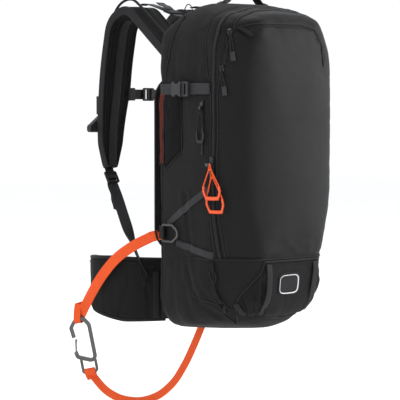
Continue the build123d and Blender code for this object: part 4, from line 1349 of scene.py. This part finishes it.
for side, tag in BOTH_SIDES:
    solid = nodes["shoulder_strap_" + tag]
    solid_tree = tree_of(solid)
    inner_edge, outer_edge, middles, facing = [], [], [], []
    runs = tangents(strap_middle)
    for point, along in zip(strap_middle, runs):
        x = -side * strap_axis(point.z)
        start = Vector((x, point.y, point.z))
        hits = [solid_tree.ray_cast(start, Vector((d, 0, 0)))[0] for d in (-1, 1)]
        if None in hits or hits[1].x - hits[0].x > 0.075:
            continue
        near, far = (hits[1], hits[0]) if side < 0 else (hits[0], hits[1])
        inner_edge.append(near)
        outer_edge.append(far)
        middles.append((near + far) / 2)
        facing.append(Vector((1, 0, 0)).cross(along).normalized())
    strap = soft_copy("shoulder_strap_" + tag, "strap_" + tag, 0.0036, air_mesh, smooth=3, shrink=0.0004)
    rims = []
    for line, way in ((inner_edge, 1), (outer_edge, -1)):
        for offset in (-0.0055, 0.0055):
            rims.append([p + Vector((side * way * 0.0075, 0, 0)) + n * offset for p, n in zip(line, facing)])
    pressed(strap, rims, 0.0020, 0.0030, puff=0.0009, reach=0.012)
    place(strap, "pack", "mesh_foam", "shoulder_strap_" + tag)
    for edge, edge_tag, way in ((inner_edge, "inner", 1), (outer_edge, "outer", -1)):
        line = even([p - Vector((side * way * -0.0006, 0, 0)) for p in edge], 0.004)
        finder = finder_at(edge)
        wide = [facing[finder.find(p)[1]] for p in line]
        place(
            ribbon(f"strap_binding_{tag}_{edge_tag}", line, wide, 0.0162, 0.0026, binding, 0.0004),
            "pack", "trim_fabric",
        )
        for number, offset in enumerate((-0.0078, 0.0078)):
            row = [p + Vector((side * way * 0.0058, 0, 0)) + w * offset for p, w in zip(line, wide)]
            normal = [w * math.copysign(1, offset) for w in wide]
            place(stitches(f"strap_stitches_{tag}_{edge_tag}_{number}", row, normal), "pack")
    # Webbing sewn down the outer face, with a lighter stripe of bar tacks
    outer_sign = -1 if facing[-1].y < 0 else 1
    outer_face = [p - n * 0.0080 * outer_sign for p, n in zip(middles, facing)]
    chosen = [p for p in outer_face if p.z < 0.565 and p.y > 0.12]
    if len(chosen) > 6:
        daisy = ribbon(
            "strap_webbing_" + tag, even(chosen, 0.004), Vector((1, 0, 0)), 0.018, 0.0016, black_web,
        )
        place(daisy, "pack", "black_webbing")
        for k in range(3, len(chosen) - 2, 8):
            p = chosen[k]
            n = Vector((0, 1, 0))
            bar = [p + n * 0.0012 + Vector((0.001 * j, 0, 0)) for j in range(-8, 9)]
            stitched(f"strap_tack_{tag}_{k}", (bar, [n] * len(bar)), "pack", pitch=tack_pitch)

lock_z, lock_y = box_middle("lifter_locks", "z"), box_middle("lifter_locks", "y")
top_low, top_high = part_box("load_lifters")
lifter_x = 0.062
for side, tag in BOTH_SIDES:
    x = side * lifter_x
    slope = Vector((0, 0.957, 0.289))
    raise_up = Vector((0, -0.289, 0.957))
    lock = Vector((x, lock_y, lock_z))
    route = [
        Vector((x, top_high.y + 0.004, top_high.z - 0.004)),
        Vector((x, top_high.y - 0.012, top_high.z - 0.002)), Vector((x, 0.072, lock_z + 0.0130)),
        lock + slope * 0.013 - raise_up * 0.0014, lock + slope * 0.006 + raise_up * 0.0010,
        lock + raise_up * 0.0036,
        lock - slope * 0.006 + raise_up * 0.0008, lock - slope * 0.012 - raise_up * 0.0016,
        Vector((x, 0.002, lock_z - 0.0085)), Vector((x, top_low.y + 0.001, top_low.z + 0.003)),
    ]
    web = ribbon("lifter_web_" + tag, rounded(route, 0.002), Vector((1, 0, 0)), web_width, 0.0017, grey_web)
    place(web, "pack", "black_webbing")
    if side < 0:
        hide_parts("load_lifters")
    tail = [
        lock + slope * 0.010 + raise_up * 0.0028, lock + slope * 0.020 + raise_up * 0.0062,
        lock + slope * 0.031 + raise_up * 0.0052, lock + slope * 0.041 + raise_up * 0.0072,
    ]
    place(
        ribbon("lifter_tail_" + tag, rounded(tail, 0.002), Vector((1, 0, 0)), 0.0190, 0.0017, grey_web),
        "pack", "black_webbing",
    )
    for y in (0.0, 0.0045):
        row = [
            Vector((x + 0.0018 * k, top_low.y + 0.0050 + y, top_low.z + 0.0052 + y * 0.45))
            for k in range(-5, 6)
        ]
        stitched(
            f"lifter_tack_{tag}_{int(y * 10000)}", (row, [Vector((0, 0.3, 0.95))] * len(row)), "pack",
            pitch=tack_pitch,
        )

# Lower webbings: edge-on at the strap's end, turning flat towards the wing
for side, tag in BOTH_SIDES:
    def at(x, y, z):
        return Vector((side * x, y, z))

    lock = at(0.100, box_middle("strap_adjusters", "y"), box_middle("strap_adjusters", "z"))
    route = [
        at(0.1002, 0.170, 0.286), at(0.1000, 0.164, 0.274), lock + at(0, 0.0030, 0.0),
        at(0.1002, 0.1545, 0.2560), at(0.1120, 0.114, 0.208), at(0.1240, 0.071, 0.160),
        at(0.1300, 0.046, 0.132), at(0.1260, 0.040, 0.118), at(0.1150, 0.030, 0.093),
    ]
    line = rounded(route, 0.003)
    wide = []
    for p in line:
        flat_way = at(0.75, -0.66, 0).normalized()
        edge_way = at(-0.64, -0.77, 0).normalized() * (-1)
        top_way = Vector((side, 0, 0))
        way = flat_way.slerp(edge_way, ramp(p.z, 0.14, 0.19, 0.0, 1.0))
        way = way.slerp(top_way, ramp(p.z, 0.215, 0.262, 0.0, 1.0))
        wide.append(way)
    web = ribbon("lower_web_" + tag, line, wide, web_width, 0.0017, black_web)
    place(web, "pack", "black_webbing")
    if side < 0:
        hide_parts("lower_webbings")
    tail_route = [
        at(0.1000, 0.1640, 0.2640), at(0.0985, 0.1660, 0.2500), at(0.0955, 0.1610, 0.2360),
        at(0.0935, 0.1640, 0.2240), at(0.0920, 0.1600, 0.2120), at(0.0935, 0.1560, 0.2080),
    ]
    tail = rounded(tail_route, 0.002)
    twist = [Vector((0.95 * side, -0.2 - 0.5 * k / len(tail), 0)).normalized() for k in range(len(tail))]
    place(ribbon("strap_tail_" + tag, tail, twist, 0.0185, 0.0018, black_web), "pack", "black_webbing")
    hem = [
        tail[-1] + Vector((0, 0.0020, 0.0070)), tail[-1] + Vector((0, 0.0026, 0.0015)),
        tail[-1] + Vector((0, 0.0012, -0.0010)),
    ]
    place(ribbon("strap_tail_hem_" + tag, hem, twist[-1], 0.0186, 0.0022, black_web), "pack", "black_webbing")

haul_y = box_middle("haul_loop", "y")
haul_route = [
    Vector((-0.052, haul_y, on_top(-0.052, haul_y, 0.0012)[0].z)),
    Vector((-0.040, haul_y, on_top(-0.040, haul_y, 0.0020)[0].z)), Vector((-0.028, haul_y, 0.5985)),
    Vector((0.028, haul_y, 0.5985)), Vector((0.040, haul_y, on_top(0.040, haul_y, 0.0020)[0].z)),
    Vector((0.052, haul_y, on_top(0.052, haul_y, 0.0012)[0].z)),
]
haul = ribbon("haul_web", rounded(haul_route, 0.003), Vector((0, 1, 0)), 0.0205, 0.0024, black_web, 0.0006)
place(haul, "pack", "black_webbing", "haul_loop")
for side in (-1, 1):
    for k in (0.044, 0.049):
        row = [
            Vector((side * k, haul_y + 0.0017 * j, on_top(side * k, haul_y, 0.0038)[0].z))
            for j in range(-5, 6)
        ]
        stitched(
            f"haul_tack_{(side + 1) // 2}_{int(k * 1000)}", (row, [UP] * len(row)), "pack",
            pitch=tack_pitch,
        )

for tag, body, name in (
    ("left", "sternum_left", "sternum_webbing_left"), ("right", "sternum_right", "sternum_webbing_right"),
):
    low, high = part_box(name)
    y, z = box_middle(name, "y"), box_middle(name, "z")
    bow = [
        Vector((low.x, y, z)), Vector((low.x + (high.x - low.x) * 0.3, y - 0.0004, z)),
        Vector((low.x + (high.x - low.x) * 0.7, y - 0.0005, z)), Vector((high.x, y, z)),
    ]
    place(
        ribbon("sternum_web_" + tag, rounded(bow, 0.002), UP, 0.0188, 0.0017, black_web), body,
        "black_webbing", name,
    )


# ------------------------------------------------------------ hip belt


belt_centre_y, belt_x, belt_y = 0.117, 0.160, 0.117


def on_belt(side, turn, z, out):
    """A point at turn degrees round the belt from its side, forwards positive, and its normal."""
    a = math.radians(turn)
    point = Vector((side * belt_x * math.cos(a), belt_centre_y + belt_y * math.sin(a), z))
    normal = Vector((side * math.cos(a) / belt_x, math.sin(a) / belt_y, 0)).normalized()
    return point + normal * out, normal


for side, tag in BOTH_SIDES:
    wing = shrunk_then_swollen("hip_wing_" + tag, "wing_" + tag, 0.0042, trim, 0.0010, 2.5, 0.0028)
    dart = [on_belt(side, -30, 0.078, 0)[0], on_belt(side, -25, 0.050, 0)[0], on_belt(side, -20, 0.018, 0)[0]]
    fan = [on_belt(side, -30, 0.098, 0)[0], on_belt(side, -30, 0.078, 0)[0]]
    second = [
        on_belt(side, -44, 0.070, 0)[0], on_belt(side, -46, 0.040, 0)[0], on_belt(side, -46, 0.012, 0)[0],
    ]
    pressed(wing, [dart, fan, second], 0.0026, 0.0034, puff=0.0)
    for vertex in wing.data.vertices:
        p = vertex.co
        local_fold = creases(Vector((p.y * 1.6, p.z * 0.6, 0.3 * side)), 22) - 0.55
        vertex.co += vertex.normal * (0.0013 * local_fold + 0.0008 * noise.noise(p * 30))
    place(wing, "pack", "trim_fabric", "hip_wing_" + tag)
    solid = nodes["hip_wing_" + tag]
    solid_tree = tree_of(solid)
    top_line, low_line, turns = [], [], []
    for k in range(72):
        turn = -58 + 118 * k / 71
        centre = on_belt(side, turn, 0, -0.0065)[0]
        above = solid_tree.ray_cast(Vector((centre.x, centre.y, 0.3)), -UP)[0]
        below = solid_tree.ray_cast(Vector((centre.x, centre.y, -0.1)), UP)[0]
        if above is None or below is None:
            continue
        top_line.append(above)
        low_line.append(below)
        turns.append(turn)
    for line, line_tag, shift in ((top_line, "top", -0.0018), (low_line, "low", 0.0018)):
        path = even([p + UP * shift for p in line], 0.004)
        wide = [
            Vector((p.x / belt_x ** 2, (p.y - belt_centre_y) / belt_y ** 2, 0)).normalized()
            for p in path
        ]
        place(
            ribbon(f"wing_binding_{tag}_{line_tag}", path, wide, 0.0150, 0.0060, binding, 0.0004), "pack",
            "trim_fabric",
        )
        way = -0.0075 if line_tag == "top" else 0.0075
        row = [p + w * 0.0078 + UP * way for p, w in zip(path, wide)]
        place(stitches(f"wing_stitches_{tag}_{line_tag}", row, wide), "pack")
    for number, line in enumerate((dart, second)):
        dense = even([p + Vector((side * 0.0006, -0.0006, 0)) for p in line], 0.004)
        offset_row = [p + Vector((0, 0.004, 0)) for p in dense]
        facing = [Vector((side * 0.85, -0.5, 0)).normalized()] * len(dense)
        place(stitches(f"wing_dart_{tag}_{number}", offset_row, facing), "pack")
    # Reinforced triangle where the lower webbing is sewn on, and the pull-forward webbing at the root
    corner_a = on_belt(side, -37, 0.112, 0.0026)[0]
    corner_b = on_belt(side, -50, 0.112, 0.0026)[0]
    corner_c = on_belt(side, -42, 0.070, 0.0026)[0]
    rows = 8
    verts, faces = [], []
    for j in range(rows + 1):
        for i in range(rows + 1 - j):
            u, v = i / rows, j / rows
            verts.append(corner_a + (corner_b - corner_a) * u + (corner_c - corner_a) * v)
    index = 0
    for j in range(rows):
        for i in range(rows - j):
            faces.append((index + i, index + i + 1, index + i + rows + 1 - j))
            if i < rows - j - 1:
                faces.append((index + i + 1, index + i + rows + 2 - j, index + i + rows + 1 - j))
        index += rows + 1 - j
    triangle = mesh_object("wing_triangle_" + tag, verts, faces, trim, [(p.y, p.z) for p in verts])
    thicken(triangle, 0.0024, 0)
    apply_modifiers(triangle)
    place(triangle, "pack", "trim_fabric")
    for number, (a, b) in enumerate(((corner_a, corner_b), (corner_b, corner_c), (corner_c, corner_a))):
        middle = (corner_a + corner_b + corner_c) / 3
        out = on_belt(side, -43, 0.1, 0)[1]
        row = even([a.lerp(middle, 0.12) + out * 0.0016, b.lerp(middle, 0.12) + out * 0.0016], 0.004)
        place(stitches(f"wing_triangle_stitches_{tag}_{number}", row, [out] * len(row)), "pack")
    for number, turn in enumerate((-51, -56.5)):
        strap_line = [on_belt(side, turn, z, 0.0022)[0] for z in (0.100, 0.080, 0.055, 0.030, 0.014)]
        wide = on_belt(side, turn, 0, 0)[1].cross(UP)
        place(
            ribbon(
                f"wing_root_web_{tag}_{number}", rounded(strap_line, 0.003), wide,
                0.0080 if number else 0.011, 0.0018, black_web if number else binding,
            ),
            "pack", "trim_fabric",
        )
    name = "hip_webbing_" + tag
    low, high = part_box(name)
    z = box_middle(name, "z")
    line = []
    for k in range(64):
        turn = 40 + 50 * k / 63
        point, normal = on_belt(side, turn, z, -0.005)
        if point.y > low.y and low.x <= point.x <= high.x:
            line.append(point)
    piece = ribbon(
        "hip_web_" + tag,
        rounded([line[0], line[len(line) // 3], line[2 * len(line) // 3], line[-1]], 0.003, 0.3), UP,
        0.0240, 0.0018, black_web,
    )
    place(piece, "pack", "black_webbing", name)


# ------------------------------------------------------------ release cable, leg strap and its carabiner


handle_y = box_middle("handle_socket", "y")
cable_route = [
    (-0.092, handle_y, 0.420), (-0.090, 0.195, 0.470), (-0.084, 0.193, 0.522), (-0.082, 0.184, 0.564),
    (-0.081, 0.160, 0.594),
    (-0.081, 0.122, 0.603), (-0.082, 0.084, 0.579), (-0.083, 0.048, 0.552), (-0.084, 0.016, 0.529),
    (-0.084, -0.016, 0.512),
]
cable = tube("release_sheath", rounded(cable_route, 0.003), 0.0025, black_web, sides=14)
place(cable, "pack", "black_plastic", "release_cable")
for number, share in enumerate((0.22, 0.40)):
    line = rounded(cable_route, 0.003)
    k = int(share * len(line))
    keeper = [line[k] + (line[k + 1] - line[k]).normalized() * 0.0012 * j for j in range(-5, 6)]
    place(tube(f"cable_keeper_{number}", keeper, 0.0034, trim, sides=14), "pack", "trim_fabric")

turn, lean = math.radians(40), math.radians(11)
clip_origin = Vector((-0.167, 0.156, -0.043))
clip_x = Vector((math.cos(turn) * math.cos(lean), -math.sin(turn) * math.cos(lean), math.sin(lean)))
clip_out = Vector((-math.sin(turn), -math.cos(turn), 0))
clip_y = clip_out.cross(clip_x)


def on_clip(a, b, c=0.0):
    return clip_origin + clip_x * a + clip_y * b + clip_out * c


hook_top = on_clip(0.004, 0.056)
upper_route = [
    (-0.134, -0.005, 0.167), (-0.150, 0.028, 0.150), (-0.163, 0.062, 0.127), (-0.171, 0.094, 0.094),
    (-0.174, 0.124, 0.058), tuple(hook_top + UP * 0.001),
]
upper_line = rounded(upper_route, 0.003)


def leaning(points, first):
    """The width direction carried along the line without twisting."""
    runs = tangents(points)
    way = Vector(first)
    out = []
    for along in runs:
        way = (way - along * way.dot(along)).normalized()
        out.append(way.copy())
    return out


upper_wide = leaning(upper_line, (-0.4, 0.5, 0.8))
upper = ribbon("leg_web_upper", upper_line, upper_wide, 0.0188, 0.0020, orange_web)
place(upper, "pack", "orange_webbing", "leg_strap_upper")
root_line = rounded([(-0.135, -0.004, 0.1665), (-0.126, -0.014, 0.170), (-0.112, -0.026, 0.172)], 0.003)
leg_root = ribbon("leg_web_root", root_line, leaning(root_line, (-0.4, 0.5, 0.8)), 0.0188, 0.0020, orange_web)
place(leg_root, "pack", "orange_webbing")
slot_low = on_clip(0.002, -0.057)
lower_route = [
    tuple(slot_low), (-0.142, 0.126, -0.128), (-0.124, 0.103, -0.143), (-0.100, 0.076, -0.147),
    (-0.077, 0.048, -0.135), (-0.059, 0.024, -0.108), (-0.046, 0.004, -0.068), (-0.038, -0.013, -0.028),
    (-0.034, -0.025, 0.0),
]
lower_line = rounded(lower_route, 0.003)
broad_face = Vector((-0.64, -0.76, 0.08))
lower_wide = []
for along in tangents(lower_line):
    flat_way = along.cross(broad_face).normalized()
    lower_wide.append((flat_way * 0.66 + flat_way.cross(along) * 0.75).normalized())
lower = ribbon("leg_web_lower", lower_line, lower_wide, 0.0190, 0.0020, orange_web)
place(lower, "pack", "orange_webbing", "leg_strap_lower")

loop_route = [
    on_clip(0.0030, 0.078, 0.003), on_clip(-0.0010, 0.066, 0.0062), on_clip(-0.0045, 0.052, 0.0064),
    on_clip(-0.0050, 0.0432, 0.0030), on_clip(-0.0030, 0.0420, -0.0030), on_clip(0.0030, 0.050, -0.0062),
    on_clip(0.0070, 0.064, -0.0040), on_clip(0.0050, 0.080, -0.001),
]
sewn_loop = ribbon("leg_sewn_loop", rounded(loop_route, 0.0015), clip_x, 0.0125, 0.0018, orange_web)
place(sewn_loop, "pack", "orange_webbing")
for number, share in enumerate((0.88, 0.92, 0.96)):
    k = int(share * (len(upper_line) - 1))
    out = upper_wide[k].cross((upper_line[k + 1] - upper_line[k - 1]).normalized())
    if out.dot(toward_camera) < 0:
        out = -out
    row = [upper_line[k] + upper_wide[k] * 0.0016 * j + out * 0.0014 for j in range(-5, 6)]
    place(stitches(f"leg_tack_{number}", row, [out] * len(row), orange_thread, pitch=0.0018), "pack")
wrap_route = [
    on_clip(0.002, -0.0600, 0.0), on_clip(0.001, -0.0560, -0.0052), on_clip(0.000, -0.0460, -0.0048),
    on_clip(0.000, -0.0440, 0.0044), on_clip(0.000, -0.0560, 0.0052), on_clip(0.002, -0.0640, 0.0016),
]
wrap = ribbon("leg_slot_wrap", rounded(wrap_route, 0.0015), clip_x, web_width, 0.0018, orange_web)
place(wrap, "pack", "orange_webbing")


# ------------------------------------------------------------ finishes of the hard parts


finishes = {
    "frame_sheet": sheet_plastic, "frame_stays": stay_metal, "blower_housing": drive_plastic,
    "impeller": drive_grey,
    "energy_pack": drive_grey, "switch_knob": orange_soft, "compression_sockets": grey_plastic,
    "compression_plug_left": grey_plastic,
    "compression_plug_right": grey_plastic, "side_ring_left": grey_metal, "side_ring_right": grey_metal,
    "main_slider_upper": slider_metal, "main_slider_lower": slider_metal, "side_slider": slider_metal,
    "hip_buckle_socket": black_plastic, "hip_buckle_plug": black_plastic, "lifter_locks": black_plastic,
    "strap_adjusters": black_plastic, "sternum_clip_left": black_plastic, "sternum_clip_right": black_plastic,
    "sternum_socket": black_plastic, "sternum_plug": black_plastic, "handle_socket": black_plastic,
    "release_handle": grey_plastic,
    "carabiner_body": grey_metal, "carabiner_gate": wire_metal,
}
for name, finish in finishes.items():
    part = nodes[name]
    part.data.materials.clear()
    part.data.materials.append(finish)
    change = part.modifiers.new("Edge", "BEVEL")
    change.width = 0.0004
    change.segments = 2
    change.limit_method = "ANGLE"

bpy.data.objects.remove(bag_form)

floor_material, tree, main = shader("Studio floor")
grain = node(
    tree, "ShaderNodeTexNoise",
    {"Vector": node(tree, "ShaderNodeTexCoord").outputs["Object"], "Scale": 3.0, "Detail": 4},
)
tree.links.new(
    blend_colour(tree, grain.outputs["Fac"], (0.96, 0.96, 0.955), (0.985, 0.985, 0.98)),
    main.inputs["Base Color"],
)
main.inputs["Roughness"].default_value = 0.95
floor_z = cad_box[0][2] - 0.004
floor = mesh_object(
    "floor", [(-8, -8, floor_z), (8, -8, floor_z), (8, 8, floor_z), (-8, 8, floor_z)], [(0, 1, 2, 3)],
    floor_material,
)
